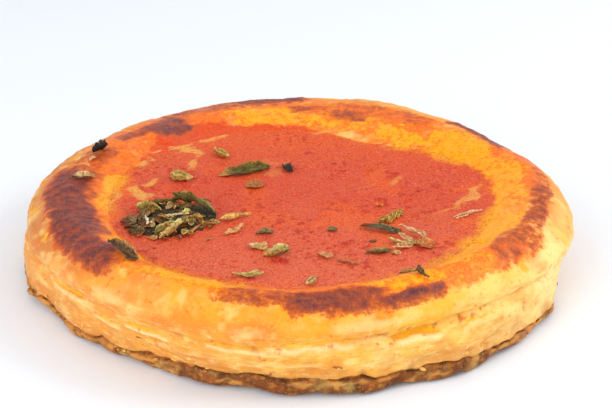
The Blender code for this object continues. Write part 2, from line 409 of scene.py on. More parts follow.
def profile_normals(points):
    """Outward unit normals of a (columns, rows, 3) round mesh whose rows run up the outside."""
    along = np.gradient(points, axis=1)
    around = (np.roll(points, -1, axis=0) - np.roll(points, 1, axis=0)) / 2
    normals = np.cross(around, along)
    return normals / np.maximum(np.linalg.norm(normals, axis=-1, keepdims=True), 1e-9)


# ---------------------------------------------------------------- pastry
def pastry_stations(strip, lift):
    """(radius, height) stations of each column, from the underside over the rim to the floor of
    the dish. The comments give each station's number."""
    drop = CREST_HEIGHT - SAUCE_LEVEL
    width = SHOULDER - BASE
    inwards = EDGE - CREST
    zero = np.zeros(COLUMNS)
    rows = [
        (0.3 * BASE, zero + UNDERSIDE),
        (0.7 * BASE, zero + UNDERSIDE),
        (BASE - 6.0, zero + 0.3 * lift),
        (BASE - 2.6, 0.65 * lift),
        (BASE - 0.7, 0.1 + lift),  # 4, corner of the base
        (BASE, 0.6 + lift),
        (BASE + 0.05, 0.3 * lift + 0.55 * strip),
        (BASE - 0.1, strip - 0.35),  # 7, top of the brown strip
        (BASE - 0.75, strip + 0.05),  # 8, crack
        (BASE - 0.1, strip + 0.4),  # 9, start of the pale layers
        (BASE + 0.1 * width, strip + 1.3),
        (BASE + 0.33 * width + 0.1, zero + 6.2),
        (BASE + 0.62 * width - 0.1, zero + 7.8),
        (SHOULDER - 0.9, zero + 8.9),  # 13, seam
        (SHOULDER - 0.3, zero + 9.8),
        (SHOULDER - 0.1, zero + 11.0),
        (SHOULDER - 0.6, zero + 12.3),
        (SHOULDER - 1.6, 0.82 * CREST_HEIGHT),
        (SHOULDER - 3.6, 0.93 * CREST_HEIGHT),
        (CREST, CREST_HEIGHT),  # 19
        (CREST + 0.28 * inwards, CREST_HEIGHT - 0.08 * drop),
        (CREST + 0.55 * inwards, CREST_HEIGHT - 0.38 * drop),
        (CREST + 0.8 * inwards, CREST_HEIGHT - 0.75 * drop),
        (EDGE, zero + SAUCE_LEVEL),  # 23
        (EDGE - 1.0, zero + SAUCE_LEVEL - 0.75),
        (EDGE - 3.0, zero + FLOOR),
        (0.4 * EDGE, zero + FLOOR),
    ]
    return np.stack([np.stack(row, axis=-1) for row in rows], axis=1)


PASTRY_ROWS = (2, 3, 3, 4, 4, 5, 4, 5, 4, 5, 11, 8, 7, 7, 6, 7, 7, 7, 8, 5, 5, 4, 3, 2, 1, 1)
STRIP_TOP_MARK, CRACK_MARK, LAYERS_MARK, CREST_MARK, EDGE_MARK = 7, 8, 9, 19, 23  # station numbers


def unseen_slots(random):
    """Slots like those of the front, drawn for the sides that are seen less."""
    slots = []
    at = UNSEEN_SIDE[0]
    while at < UNSEEN_SIDE[1] - 2 * UNSEEN_MARGIN:
        length = random.uniform(5, 15)
        height = random.uniform(7.4, 10.2)
        slots.append((at, at + length, height, random.uniform(0.12, 0.45), random.uniform(0.2, 0.6)))
        at += length + random.uniform(2, 12)
    return slots


def unseen_lifts(random):
    """Lifts of the base like those of LIFTS, for the same sides."""
    step = (UNSEEN_SIDE[1] - UNSEEN_SIDE[0]) / UNSEEN_LIFTS
    starts = UNSEEN_SIDE[0] + UNSEEN_MARGIN + step * np.arange(UNSEEN_LIFTS)
    return [(at + random.uniform(0, 8), random.uniform(2.5, 5), random.uniform(0.5, 1.2)) for at in starts]


def slot_depth(points, directions, slots):
    """How deep, in millimetres, the open slots cut in at each point, and how strongly the pale
    lip under each slot shows."""
    cut, lip = np.zeros(directions.shape), np.zeros(directions.shape)
    for k, (start, stop, height, half_height, depth) in enumerate(slots):
        middle, half = (start + stop) / 2, (stop - start) / 2
        along = off_direction(directions, middle) / half
        level = height + 0.3 * noise(points, (5, 5, 50), 200 + k) - 0.35 * along**2
        open_by = half_height * np.sqrt(np.clip(1 - along**2, 0.0001, 1))
        open_by = open_by * (1 + 0.5 * noise(points, (2.5, 2.5, 50), 230 + k, 2))
        ends = 1 - smooth(0.8, 1.05, np.abs(along))
        off = points[..., 2] - level
        deep = 1 - smooth(0.4, 1.15, np.abs(off) / np.maximum(open_by, 0.08))
        cut = np.maximum(cut, depth * ends * deep)
        lip = np.maximum(lip, ends * bump(off + open_by + 0.5, 0.7) * min(1.0, half_height / 0.3))
    return cut, lip


def fissure_depth(points, directions):
    """How deep the upright cracks cut in at each point, in millimetres."""
    cut = np.zeros(directions.shape)
    for k, (at, half_width, low, high, depth) in enumerate(FISSURES):
        wander = 1.6 * half_width * noise(points, (50, 50, 1.6), 260 + k, 2)
        off = off_direction(directions, at) + wander
        tall = smooth(low - 0.6, low + 0.8, points[..., 2])
        tall = tall * (1 - smooth(high - 0.8, high + 0.6, points[..., 2]))
        cut = np.maximum(cut, depth * tall * bump(off, 1.6 * half_width))
    return cut


def pastry_form(random):
    """The pastry's smooth form: points, outward normals, and each point's direction and station
    number, which is whole at a station and runs evenly between two."""
    ring = np.stack([np.cos(np.radians(DIRECTIONS)), np.sin(np.radians(DIRECTIONS))], axis=-1)
    round_points = np.concatenate([50 * ring, np.zeros((COLUMNS, 1))], axis=1)
    strip = round_table(STRIP_HEIGHTS, DIRECTIONS) + 0.5 * noise(round_points, 2.2, 11, 3)
    lift = 0.25 + 0.3 * noise(round_points, 4, 12, 3)
    for at, half_width, height in list(LIFTS) + unseen_lifts(random):
        lift = lift + height * bump(off_direction(DIRECTIONS, at), half_width * 1.4)
    profile, marks = spline(pastry_stations(strip, np.clip(lift, 0, None)), PASTRY_ROWS)
    radius, height = profile[..., 0], profile[..., 1]
    points = np.concatenate([radius[..., None] * ring[:, None, :], height[..., None]], axis=-1)
    directions = np.broadcast_to(DIRECTIONS[:, None], radius.shape)
    return points, profile_normals(points), directions, np.broadcast_to(marks[None, :], radius.shape)


def pastry_zones(mark):
    """How far each point belongs to the brown base strip, the layered side, the rim's shell, the
    whole outside and the top, from 0 to 1."""
    on_strip = smooth(3.5, 5, mark) * (1 - smooth(STRIP_TOP_MARK, CRACK_MARK, mark))
    on_layers = smooth(LAYERS_MARK - 0.3, LAYERS_MARK + 0.6, mark) * (1 - smooth(14.5, 16, mark))
    on_shell = smooth(13.5, 15.5, mark) * (1 - smooth(EDGE_MARK - 1, EDGE_MARK, mark))
    outside = smooth(3, 4.5, mark) * (1 - smooth(EDGE_MARK - 0.5, EDGE_MARK + 0.5, mark))
    return on_strip, on_layers, on_shell, outside, smooth(16.5, 18, mark)


def pastry_features(points, directions, mark, zones, burn, slots):
    """Strengths of the slots, their lips, the grooves between layers, the crack over the base,
    the upright cracks, the pores, the splits in the base and the blisters on the shell. Those of
    the slots and of the upright cracks are depths in millimetres. The crack, the pores and the
    splits are also painted darker, as painted shade in these hollows."""
    on_strip, on_layers, on_shell, _, _ = zones
    cut, lip = slot_depth(points, directions, slots)
    grooves = smooth(0.3, 0.75, noise(points, (3.5, 3.5, 0.6), 26, 2))
    grooves = grooves * smooth(-0.3, 0.4, noise(points, 5.0, 27))
    crack_mark = CRACK_MARK + 0.7 * noise(points, (2.2, 2.2, 50), 32, 2)
    gap = bump(mark - crack_mark, 0.7) * smooth(0.0, 0.5, noise(points, (2.2, 2.2, 50), 31, 2))
    pore_level = 9.3 + 0.8 * noise(points, (9, 9, 50), 33, 2)
    pore_row = bump(points[..., 2] - pore_level, 1.1) * smooth(-0.3, 0.3, noise(points, (8, 8, 50), 34))
    pores = pore_row * smooth(0.2, 0.6, noise(points, (0.9, 0.9, 0.5), 35, 2)) * on_layers
    splits = smooth(0.5, 0.8, noise(points, (1.5, 1.5, 6), 28)) * on_strip
    blisters = smooth(0.5, 0.9, noise(points, 1.4, 36, 2)) * on_shell * (1 - burn)
    cracks = fissure_depth(points, directions)
    return cut * on_layers, lip * on_layers, grooves, gap, cracks, pores, splits, blisters


def pastry_relief(points, zones, burn, features):
    """How far each point stands out of the smooth form, in millimetres."""
    on_strip, on_layers, on_shell, outside, _ = zones
    cut, lip, grooves, gap, cracks, pores, splits, blisters = features
    shell = 0.14 * noise(points, (4.5, 4.5, 14), 19, 2)
    shell += 0.10 * noise(points, 3.5, 22, 2) + 0.05 * noise(points, 1.2, 23, 2)
    puffed = 0.24 * noise(points, (3.0, 3.0, 1.5), 24, 3)
    leaved = 0.12 * noise(points, (2.4, 2.4, 0.42), 25, 2)
    relief = 0.18 * outside * noise(points, 9.0, 21) + on_shell * shell
    relief += on_layers * (puffed + leaved - 0.2 * grooves)
    relief += 0.22 * on_strip * noise(points, (1.5, 1.5, 0.9), 29, 3)
    relief += burn * (0.12 * noise(points, 1.6, 30, 3) + 0.06 * noise(points, 0.7, 17, 2))
    relief += 0.2 * lip + 0.14 * blisters
    return relief - cut - cracks - 0.4 * gap - 0.2 * splits - 0.2 * pores


def make_pastry(surface):
    """The crust, with the smooth form's normals and the relieved points for the flakes."""
    random = np.random.default_rng(SEED)
    points, normals, directions, mark = pastry_form(random)
    zones = pastry_zones(mark)
    on_layers, on_top = zones[1], zones[4]
    red, oil, yellow, bare, burn = (on_top * mask for mask in top_masks(points))
    slots = list(SLOTS) + unseen_slots(random)
    features = pastry_features(points, directions, mark, zones, burn, slots)
    points = points + normals * pastry_relief(points, zones, burn, features)[..., None]
    points[..., 2] = np.maximum(points[..., 2], 0.0)

    colours = pastry_colours(points, directions, mark, features)
    colours = blend(colours, srgb(246, 190, 104), bare)
    colours = np.concatenate([colours, on_layers[..., None]], axis=-1).reshape(-1, 4)
    masks = np.stack([red, oil, burn, yellow], axis=-1).reshape(-1, 4)
    flat = points.reshape(-1, 3)
    ends = np.array([[0, 0, UNDERSIDE], [0, 0, FLOOR]])
    colour_ends = np.tile([*srgb(196, 132, 66), 0], (2, 1))
    crust = mesh_object(
        "baked_crust",
        np.concatenate([flat, ends]),
        ring_faces(COLUMNS, points.shape[1], len(flat), len(flat) + 1),
        np.concatenate([colours, colour_ends]),
        np.concatenate([masks, np.zeros((2, 4))]),
    )
    crust.data.materials.append(surface)
    return crust, points, normals


# Colour of the bare pastry round the disc: (direction, sRGB). The shoulder and layer tables also hold painted
# light: their paler colours from 315 to 345 stand for light falling on the right side, and their darker ones
# from 170 to 215 are partly painted shade on the left.
SHOULDER_COLOURS_AND_LIGHT = (
    (0, (238, 160, 70)), (60, (244, 178, 80)), (120, (232, 148, 66)), (170, (212, 130, 64)),
    (205, (208, 128, 64)), (225, (228, 148, 68)), (245, (236, 156, 64)), (262, (242, 154, 50)),
    (280, (248, 170, 46)), (298, (250, 184, 58)), (315, (254, 212, 110)), (332, (255, 226, 144)),
    (350, (244, 182, 92)),
)  # fmt: skip
# Partly painted light, like the shoulder's table: paler on the right side, darker on the left.
LAYER_COLOURS_AND_LIGHT = (
    (0, (246, 184, 100)), (90, (240, 176, 90)), (180, (228, 154, 76)), (215, (228, 154, 72)),
    (250, (234, 162, 68)), (280, (244, 180, 76)), (300, (250, 196, 98)), (318, (255, 214, 128)),
    (335, (255, 226, 150)),
)  # fmt: skip
STRIP_COLOURS = (
    (0, (196, 130, 70)), (90, (166, 104, 50)), (180, (184, 118, 60)), (215, (200, 134, 68)),
    (240, (166, 102, 48)), (265, (122, 68, 32)), (300, (140, 82, 38)), (330, (200, 134, 74)),
)  # fmt: skip


def round_colours(table, directions):
    """Linear colours of a table of (direction, sRGB), smoothly read round the disc."""
    channels = [
        round_table([(at, srgb(*colour)[channel]) for at, colour in table], directions)
        for channel in range(3)
    ]
    return np.stack(channels, axis=-1)


def blend(colours, other, strength):
    """colours moved towards the colour other by strength, which is a value for each of them."""
    return colours + strength[..., None] * (np.asarray(other) - colours)


def blend_rows(colours, rows):
    """Linear colours with the sRGB colour of each (colour, strength) row laid over them in turn."""
    for colour, strength in rows:
        colours = blend(colours, srgb(*colour), strength)
    return colours


def pastry_colours(points, directions, mark, features):
    """Linear colours of the pastry before oil, sauce and burns, which the material adds, with painted shade
    in the pores, the crack over the base and its splits, and painted light from the shoulder and layer
    tables.
    """
    cut, lip, grooves, gap, cracks, pores, splits, blisters = features
    shoulder = round_colours(SHOULDER_COLOURS_AND_LIGHT, directions)
    layers = round_colours(LAYER_COLOURS_AND_LIGHT, directions)
    brown = round_colours(STRIP_COLOURS, directions)
    rise = mark + 1.2 * noise(points, (7, 7, 3), 40, 3)
    colours = blend(layers, shoulder, smooth(13.0, 15.5, rise))
    on_shell = smooth(13.5, 15, mark)
    on_layers = smooth(9, 10, mark) * (1 - smooth(14.5, 16, mark))
    inner = smooth(CREST_MARK - 1.5, CREST_MARK + 1.0, rise)
    golden = smooth(-0.1, 0.7, noise(points, (6, 6, 3), 45, 3)) * smooth(14.5, 16.5, mark)
    toasted = smooth(0.1, 0.9, noise(points, (7, 7, 4), 42, 3)) * on_shell
    pale = smooth(0.0, 0.8, noise(points, (5, 5, 2.0), 41, 3)) * (1 - smooth(15.5, 18, mark))
    pale_shell = smooth(0.35, 0.9, noise(points, (2.5, 2.5, 5), 46, 3)) * on_shell
    amber = smooth(0.1, 0.8, noise(points, (3.5, 3.5, 1.4), 47, 3)) * on_layers
    tan = 1 - smooth(LAYERS_MARK, LAYERS_MARK + 2.6, mark + 1.8 * noise(points, 3.5, 48, 3))
    colours = blend_rows(colours, (
        ((240, 112, 34), 0.8 * inner),
        ((250, 166, 26), 0.6 * golden),
        ((220, 116, 42), 0.6 * toasted),
        ((252, 218, 142), 0.55 * pale),
        ((253, 212, 130), 0.5 * pale_shell),
        ((253, 206, 118), 0.4 * blisters),
        ((222, 138, 44), 0.4 * grooves * on_layers),
        ((236, 150, 46), 0.5 * amber),
        ((253, 226, 160), 0.8 * lip),
        ((255, 194, 44), smooth(0.05, 0.3, cut)),
        ((250, 176, 50), smooth(0.08, 0.3, cracks)),
        # Painted shade: the pores are darkened as shaded holes.
        ((190, 104, 34), 0.75 * pores),
        ((206, 128, 60), 0.65 * tan),
    ))  # fmt: skip
    brown = 0.86 * brown * (1 + 0.4 * noise(points, (1.6, 1.6, 1.6), 44, 3))[..., None]
    golden_bits = smooth(0.1, 0.6, noise(points, (1.8, 1.8, 0.9), 49, 3))
    dark_bits = smooth(0.3, 0.7, noise(points, (1.3, 1.3, 1.0), 37, 2))
    brown = blend_rows(brown, (((222, 156, 78), 0.65 * golden_bits), ((84, 42, 24), 0.7 * dark_bits)))
    low = 1 - smooth(STRIP_TOP_MARK + 0.3, LAYERS_MARK + 0.5, mark + 1.2 * noise(points, 1.8, 43, 2))
    colours = blend(colours, brown, low)
    colours = blend_rows(colours, (
        # Painted shade: the crack over the base and the splits in it are darkened as shaded recesses.
        ((112, 54, 24), 0.8 * gap),
        ((96, 46, 22), 0.6 * splits),
        ((140, 76, 36), 0.5 * (1 - smooth(4.2, 5.4, mark))),
    ))  # fmt: skip
    return np.clip(colours, 0, 1)


FLAKES = 220  # loose flakes of pastry on the side
FLAKE_STATIONS = (7, 11)  # between which stations they lie
FLAKE_COLOURS = ((242, 184, 96), (220, 146, 66), (172, 100, 48))
FLAKE_THICKNESS = 0.12
FLAKE_SINK = 0.15  # how far a flake's middle lies inside the crust


def make_flakes(surface, points, normals):
    """Small flakes of pastry that stand off the side over the base."""
    random = np.random.default_rng(SEED + 2)
    flakes = Heap("pastry_flakes")
    low, high = (sum(PASTRY_ROWS[:station]) for station in FLAKE_STATIONS)
    for k in range(FLAKES):
        column = random.integers(COLUMNS)
        row = int(low + (high - low) * random.random() ** 2)
        at, out = points[column, row], normals[column, row]
        length = random.uniform(0.5, 1.7)
        flake, faces, across, along = blade(
            length, random.uniform(0.3, 0.6), 1300 + k, curl=random.uniform(0, 0.15), crumple=0.2,
            thickness=FLAKE_THICKNESS, along_cells=8, across_cells=4,
        )  # fmt: skip
        turn = math.degrees(math.atan2(out[1], out[0])) + 90 + random.uniform(-15, 15)
        seat = at - FLAKE_SINK * out
        flake = placed(flake, seat, turn, random.uniform(-10, 10), random.uniform(50, 100))
        body = FLAKE_COLOURS[random.integers(len(FLAKE_COLOURS))]
        flakes.add(flake, faces, leaf_colours(across, along, body, body))
    return flakes.finish(surface)


ABOVE_ALL = 40  # a height over everything on the table


class Top:
    """The upper surface of some objects, for resting things on."""

    def __init__(self, made):
        self.trees = [
            BVHTree.FromPolygons([v.co for v in one.data.vertices], [f.vertices for f in one.data.polygons])
            for one in made
        ]

    def height(self, x, y):
        above = Vector((x, y, ABOVE_ALL)) * MM
        hits = [tree.ray_cast(above, Vector((0, 0, -1)))[0] for tree in self.trees]
        return max(hit.z for hit in hits if hit) / MM

    def lay(self, points, x, y, reach, lift=0.0):
        """Points given about the origin, moved to x, y and sloped as the surface is there over
        reach, with the lowest of them lift above it."""
        slope_x = (self.height(x + reach, y) - self.height(x - reach, y)) / (2 * reach)
        slope_y = (self.height(x, y + reach) - self.height(x, y - reach)) / (2 * reach)
        height = self.height(x, y) + lift - points[:, 2].min()
        laid = points + (x, y, height)
        laid[:, 2] += slope_x * points[:, 0] + slope_y * points[:, 1]
        return laid


# ---------------------------------------------------------------- sauce
SAUCE_CELLS = 290
SAUCE_REACH = 1.2  # how far the sauce's rim runs in under the pastry's surface
SAUCE_DOME = 0.25  # how much higher its middle is than its rim
LUMP_RISE = 0.22


def disc_grid(cells):
    """Even grid of points on the unit disc: (cells + 1) squared of them, as x and y arrays."""
    u, v = np.meshgrid(np.linspace(-1, 1, cells + 1), np.linspace(-1, 1, cells + 1), indexing="ij")
    wide = np.abs(u) > np.abs(v)
    radius = np.where(wide, u, v)
    with np.errstate(divide="ignore", invalid="ignore"):
        turn = np.where(wide, math.pi / 4 * v / u, math.pi / 2 - math.pi / 4 * u / v)
    turn = np.nan_to_num(turn)
    return radius * np.cos(turn), radius * np.sin(turn)


def make_sauce(surface):
    """The sauce: an uneven sheet over the dish, with dark lumps and specks of tomato."""
    x, y = disc_grid(SAUCE_CELLS)
    far = np.hypot(x, y)
    directions = np.degrees(np.arctan2(y, x)) % 360
    edge = np.interp(directions, np.append(DIRECTIONS, 360), np.append(EDGE, EDGE[0])) + SAUCE_REACH
    x, y = x * edge, y * edge
    flat = np.stack([x, y, np.zeros_like(x)], axis=-1)
    relief = 0.12 * noise(flat, 7, 50, 2) + 0.10 * noise(flat, 2.2, 51, 2) + 0.09 * noise(flat, 0.8, 52, 2)
    lumps = np.zeros_like(x)
    for k, (mid_x, mid_y, radius) in enumerate(RED_LUMPS):
        off = np.hypot(x - mid_x, (y - mid_y) * 1.2) + 0.9 * radius * noise(flat, 1.3, 300 + k, 2)
        lumps = np.maximum(lumps, 1 - smooth(0.3, 1.0, off / radius))
    specks = smooth(0.7, 1.0, noise(flat, 0.9, 53)) * smooth(-0.2, 0.6, noise(flat, 9, 54))
    dark = np.maximum(lumps, 0.8 * specks)
    inner = 1 - smooth(0.95, 1.0, far)
    z = SAUCE_LEVEL + SAUCE_DOME * (1 - far**2) + inner * (relief + LUMP_RISE * dark)
    points = np.stack([x, y, z], axis=-1)
    red, _, yellow, bare, _ = top_masks(points)
    tan = smooth(0.0, 0.9, noise(flat, 12, 55, 2))
    orange = np.maximum(smooth(0.2, 0.9, noise(flat, 8, 56, 3)), smooth(4, 30, y))
    colours = blend_rows(np.broadcast_to(srgb(224, 80, 46), points.shape), (
        ((226, 102, 54), 0.5 * tan),
        ((244, 98, 18), 0.65 * orange),
        # Painted sheen: the sauce is paler and pinker towards the front, where it reflects a haze of light.
        ((240, 128, 90), 0.4 * smooth(5, 35, -y)),
        ((186, 28, 14), 0.85 * dark),
    ))  # fmt: skip
    rim = blend(np.broadcast_to(srgb(240, 104, 30), points.shape), srgb(254, 168, 14), yellow)
    colours = blend(blend(rim, colours, red), srgb(248, 178, 84), bare)
    count = SAUCE_CELLS + 1
    faces = []
    for i in range(SAUCE_CELLS):
        start = i * count
        faces += [
            (start + j, start + count + j, start + count + j + 1, start + j + 1)
            for j in range(SAUCE_CELLS)
        ]
    made = mesh_object("tomato_sauce", points.reshape(-1, 3), faces, colours.reshape(-1, 3))
    made.data.materials.append(surface)
    return made


# ---------------------------------------------------------------- materials
class Shader:
    """Builds one node material around a Principled BSDF. Its methods add nodes, and take and give
    sockets; a plain number or colour may stand for a socket."""

    def __init__(self, name, roughness, specular):
        self.material = bpy.data.materials.new(name)
        self.material.use_nodes = True
        self.nodes = self.material.node_tree.nodes
        self.links = self.material.node_tree.links
        self.principled = self.nodes["Principled BSDF"]
        self.principled.inputs["Roughness"].default_value = roughness
        self.principled.inputs["Specular IOR Level"].default_value = specular
        self.coordinates = self.nodes.new("ShaderNodeTexCoord").outputs["Object"]

    def feed(self, socket, value):
        if isinstance(value, bpy.types.NodeSocket):
            self.links.new(value, socket)
        elif isinstance(value, (tuple, list, np.ndarray)):
            socket.default_value = (*value, 1) if len(value) == 3 else tuple(value)
        else:
            socket.default_value = value

    def noise(self, size, detail, roughness, stretch=(1, 1, 1), turn=0):
        """Noise from 0 to 1 whose lumps are about size millimetres, longer along stretch. turn
        picks another part of the pattern."""
        mapping = self.nodes.new("ShaderNodeMapping")
        mapping.inputs["Scale"].default_value = [1 / s for s in stretch]
        mapping.inputs["Location"].default_value = (turn * 0.013, turn * 0.007, 0)
        self.links.new(self.coordinates, mapping.inputs["Vector"])
        texture = self.nodes.new("ShaderNodeTexNoise")
        texture.inputs["Scale"].default_value = 1 / (size * MM)
        texture.inputs["Detail"].default_value = detail
        texture.inputs["Roughness"].default_value = roughness
        self.links.new(mapping.outputs[0], texture.inputs["Vector"])
        return texture.outputs["Fac"]

    def attribute(self, name):
        """Colour and alpha of a point attribute."""
        found = self.nodes.new("ShaderNodeAttribute")
        found.attribute_name = name
        return found.outputs["Color"], found.outputs["Alpha"]

    def split(self, colour):
        parts = self.nodes.new("ShaderNodeSeparateColor")
        self.links.new(colour, parts.inputs[0])
        return list(parts.outputs)

    def combine(self, kind, first, second):
        made = self.nodes.new("ShaderNodeMath")
        made.operation = kind
        self.feed(made.inputs[0], first)
        self.feed(made.inputs[1], second)
        return made.outputs[0]

    def off_middle(self, value, scale):
        """The value's distance from one half, times scale."""
        return self.combine("MULTIPLY", self.combine("SUBTRACT", value, 0.5), scale)

    def ragged(self, mask, *wobbles):
        """mask plus the sum of (noise, strength) wobbles, which break up its edge."""
        offs = [self.off_middle(value, strength) for value, strength in wobbles]
        total = offs[0]
        for off in offs[1:]:
            total = self.combine("ADD", total, off)
        return self.combine("ADD", mask, total)

    def span(self, value, low, high, to_low=0.0, to_high=1.0):
        """A smooth run from to_low to to_high while value goes from low to high."""
        made = self.nodes.new("ShaderNodeMapRange")
        made.interpolation_type = "SMOOTHSTEP"
        for key, number in zip(
            ("Value", "From Min", "From Max", "To Min", "To Max"), (value, low, high, to_low, to_high)
        ):
            self.feed(made.inputs[key], number)
        return made.outputs[0]

    def mix(self, share, first, second, kind="MIX"):
        made = self.nodes.new("ShaderNodeMix")
        made.data_type = "RGBA"
        made.blend_type = kind
        made.clamp_factor = True
        self.feed(made.inputs[0], share)
        self.feed(made.inputs[6], first)
        self.feed(made.inputs[7], second)
        return made.outputs[2]

    def layers(self, colour, rows):
        """colour with one sRGB colour after another laid over it. A row is (value, low, high,
        to_low, to_high, colour), and the first five give that colour's share, as in span."""
        for *run, other in rows:
            colour = self.mix(self.span(*run), colour, srgb(*other))
        return colour

    def both(self, first, second):
        return self.combine("MULTIPLY", first, second)

    def bump(self, height, distance, strength, before=None):
        made = self.nodes.new("ShaderNodeBump")
        made.inputs["Strength"].default_value = strength
        made.inputs["Distance"].default_value = distance * MM
        self.feed(made.inputs["Height"], height)
        if before is not None:
            self.links.new(before, made.inputs["Normal"])
        return made.outputs[0]

    def finish(self, colour, roughness=None, normal=None):
        self.feed(self.principled.inputs["Base Color"], colour)
        if roughness is not None:
            self.feed(self.principled.inputs["Roughness"], roughness)
        if normal is not None:
            self.links.new(normal, self.principled.inputs["Normal"])
        return self.material


def crust_surface():
    shader = Shader("baked_crust", 0.5, 0.12)
    tint, side = shader.attribute("tint")
    mask_colour, yellow = shader.attribute("masks")
    red, oil, burn = shader.split(mask_colour)
    fine = shader.noise(0.5, 4, 0.65)
    medium = shader.noise(1.6, 4, 0.6, turn=3)
    broad = shader.noise(4.5, 3, 0.55, turn=8)
    lines = shader.noise(0.5, 3, 0.6, stretch=(4, 4, 0.8), turn=5)
    mottle = shader.noise(1.1, 3, 0.6, turn=12)
    # Baked pastry: fine flecks everywhere and thin layers on the side.
    colour = shader.layers(tint, (
        (fine, 0.55, 0.75, 0, 0.35, (254, 224, 150)),
        (fine, 0.28, 0.45, 0.4, 0, (222, 126, 36)),
        (medium, 0.52, 0.8, 0, 0.4, (234, 136, 36)),
        (broad, 0.3, 0.5, 0.35, 0, (252, 214, 120)),
    ))  # fmt: skip
    pale_lines = shader.both(side, shader.span(lines, 0.54, 0.7, 0, 0.4))
    colour = shader.mix(pale_lines, colour, srgb(254, 228, 160))
    dark_lines = shader.both(side, shader.span(lines, 0.3, 0.44, 0.3, 0))
    colour = shader.mix(dark_lines, colour, srgb(216, 132, 40))
    # Oil: orange, with redder and yellow streaks, and a reddish edge where the sauce starts.
    oily = shader.layers(srgb(238, 100, 22), (
        (fine, 0.4, 0.65, 0, 1, (250, 138, 26)),
        (medium, 0.5, 0.75, 0, 0.75, (222, 66, 16)),
    ))  # fmt: skip
    gold = shader.layers(srgb(254, 174, 14), (
        (fine, 0.36, 0.52, 0.8, 0, (244, 126, 14)),
        (medium, 0.52, 0.72, 0, 0.6, (255, 204, 74)),
    ))  # fmt: skip
    golden = shader.ragged(yellow, (broad, 1.2), (medium, 1.4), (mottle, 1.6))
    oily = shader.mix(shader.span(golden, 0.3, 0.85, 0, 0.95), oily, gold)
    covered = shader.ragged(oil, (fine, 0.6), (medium, 1.5))
    colour = shader.mix(shader.span(covered, 0.15, 0.8, 0, 0.94), colour, oily)
    reddish = shader.layers(srgb(214, 60, 24), ((fine, 0.4, 0.7, 0, 1, (232, 92, 34)),))
    sauced = shader.ragged(red, (fine, 0.6), (medium, 1.5))
    colour = shader.mix(shader.span(sauced, 0.3, 0.85, 0, 0.92), colour, reddish)
    # Burns: orange-brown at their edges, dark and purplish inside, mottled all over, with pinkish-grey
    # painted highlights on their darkest parts.
    charred = shader.ragged(burn, (fine, 0.8), (medium, 1.5))
    colour = shader.layers(colour, (
        (charred, 0.15, 0.5, 0, 0.85, (208, 92, 36)),
        (charred, 0.4, 0.85, 0, 0.9, (146, 64, 44)),
        (charred, 0.75, 1.25, 0, 0.85, (88, 48, 56)),
    ))  # fmt: skip
    spots = shader.both(shader.span(charred, 0.4, 0.8), shader.span(mottle, 0.54, 0.68, 0, 0.45))
    colour = shader.mix(spots, colour, srgb(196, 90, 50))
    # Painted highlights: small pinkish-grey glints on the burns' darkest parts.
    painted_glints = shader.both(shader.span(charred, 0.6, 1.0), shader.span(fine, 0.52, 0.66, 0, 0.45))
    colour = shader.mix(painted_glints, colour, srgb(178, 108, 94))
    grain = shader.bump(shader.noise(0.32, 3, 0.6, turn=9), 0.05, 0.8)
    normal = shader.bump(fine, 0.12, 0.7, grain)
    normal = shader.bump(shader.both(side, lines), 0.16, 0.8, normal)
    return shader.finish(colour, shader.span(oil, 0, 1, 0.5, 0.34), normal)


def sauce_surface():
    shader = Shader("tomato_sauce", 0.45, 0.14)
    tint, _ = shader.attribute("tint")
    fine = shader.noise(0.34, 4, 0.65)
    medium = shader.noise(1.6, 4, 0.6, turn=2)
    specks = shader.noise(0.55, 2, 0.5, turn=6)
    colour = shader.layers(tint, (
        (medium, 0.5, 0.8, 0, 0.35, (236, 118, 72)),
        (fine, 0.34, 0.5, 0.75, 0, (176, 26, 14)),
        # Painted highlights: pale pink flecks for the sauce's small wet glints.
        (fine, 0.53, 0.66, 0, 0.55, (253, 148, 104)),
        (specks, 0.62, 0.72, 0, 0.7, (150, 18, 12)),
    ))  # fmt: skip
    grain = shader.bump(shader.noise(0.25, 3, 0.6, turn=7), 0.06, 0.9)
    normal = shader.bump(fine, 0.3, 0.9, grain)
    return shader.finish(colour, shader.span(medium, 0.3, 0.7, 0.34, 0.52), normal)


def herb_surface():
    shader = Shader("dried_herb", 0.75, 0.25)
    tint, _ = shader.attribute("tint")
    fine = shader.noise(0.5, 4, 0.65)
    veins = shader.noise(0.22, 3, 0.6, turn=4)
    dark = shader.mix(1.0, tint, srgb(176, 152, 112), "MULTIPLY")
    colour = shader.mix(shader.span(fine, 0.35, 0.65), dark, tint)
    colour = shader.layers(colour, ((veins, 0.56, 0.75, 0, 0.4, (226, 206, 136)),))
    return shader.finish(colour, normal=shader.bump(fine, 0.12, 0.8))


# ---------------------------------------------------------------- herb pieces
class Heap:
    """Gathers small closed shapes of one kind into one mesh."""

    def __init__(self, name):
        self.name = name
        self.points, self.faces, self.colours = [], [], []
        self.count = 0

    def add(self, points, faces, colours):
        self.points.append(points)
        self.colours.append(colours)
        self.faces += [tuple(v + self.count for v in face) for face in faces]
        self.count += len(points)

    def finish(self, surface):
        made = mesh_object(
            self.name, np.concatenate(self.points), self.faces, np.concatenate(self.colours)
        )
        made.data.materials.append(surface)
        return made


def placed(points, at, turn=0.0, tilt=0.0, roll=0.0):
    """Points turned about +Z by turn, with their +X end raised by tilt and rolled by roll degrees,
    and moved to at."""
    turning = Matrix.Rotation(math.radians(turn), 3, "Z") @ Matrix.Rotation(math.radians(-tilt), 3, "Y")
    turning = turning @ Matrix.Rotation(math.radians(roll), 3, "X")
    return points @ np.array(turning).T + np.array(at)


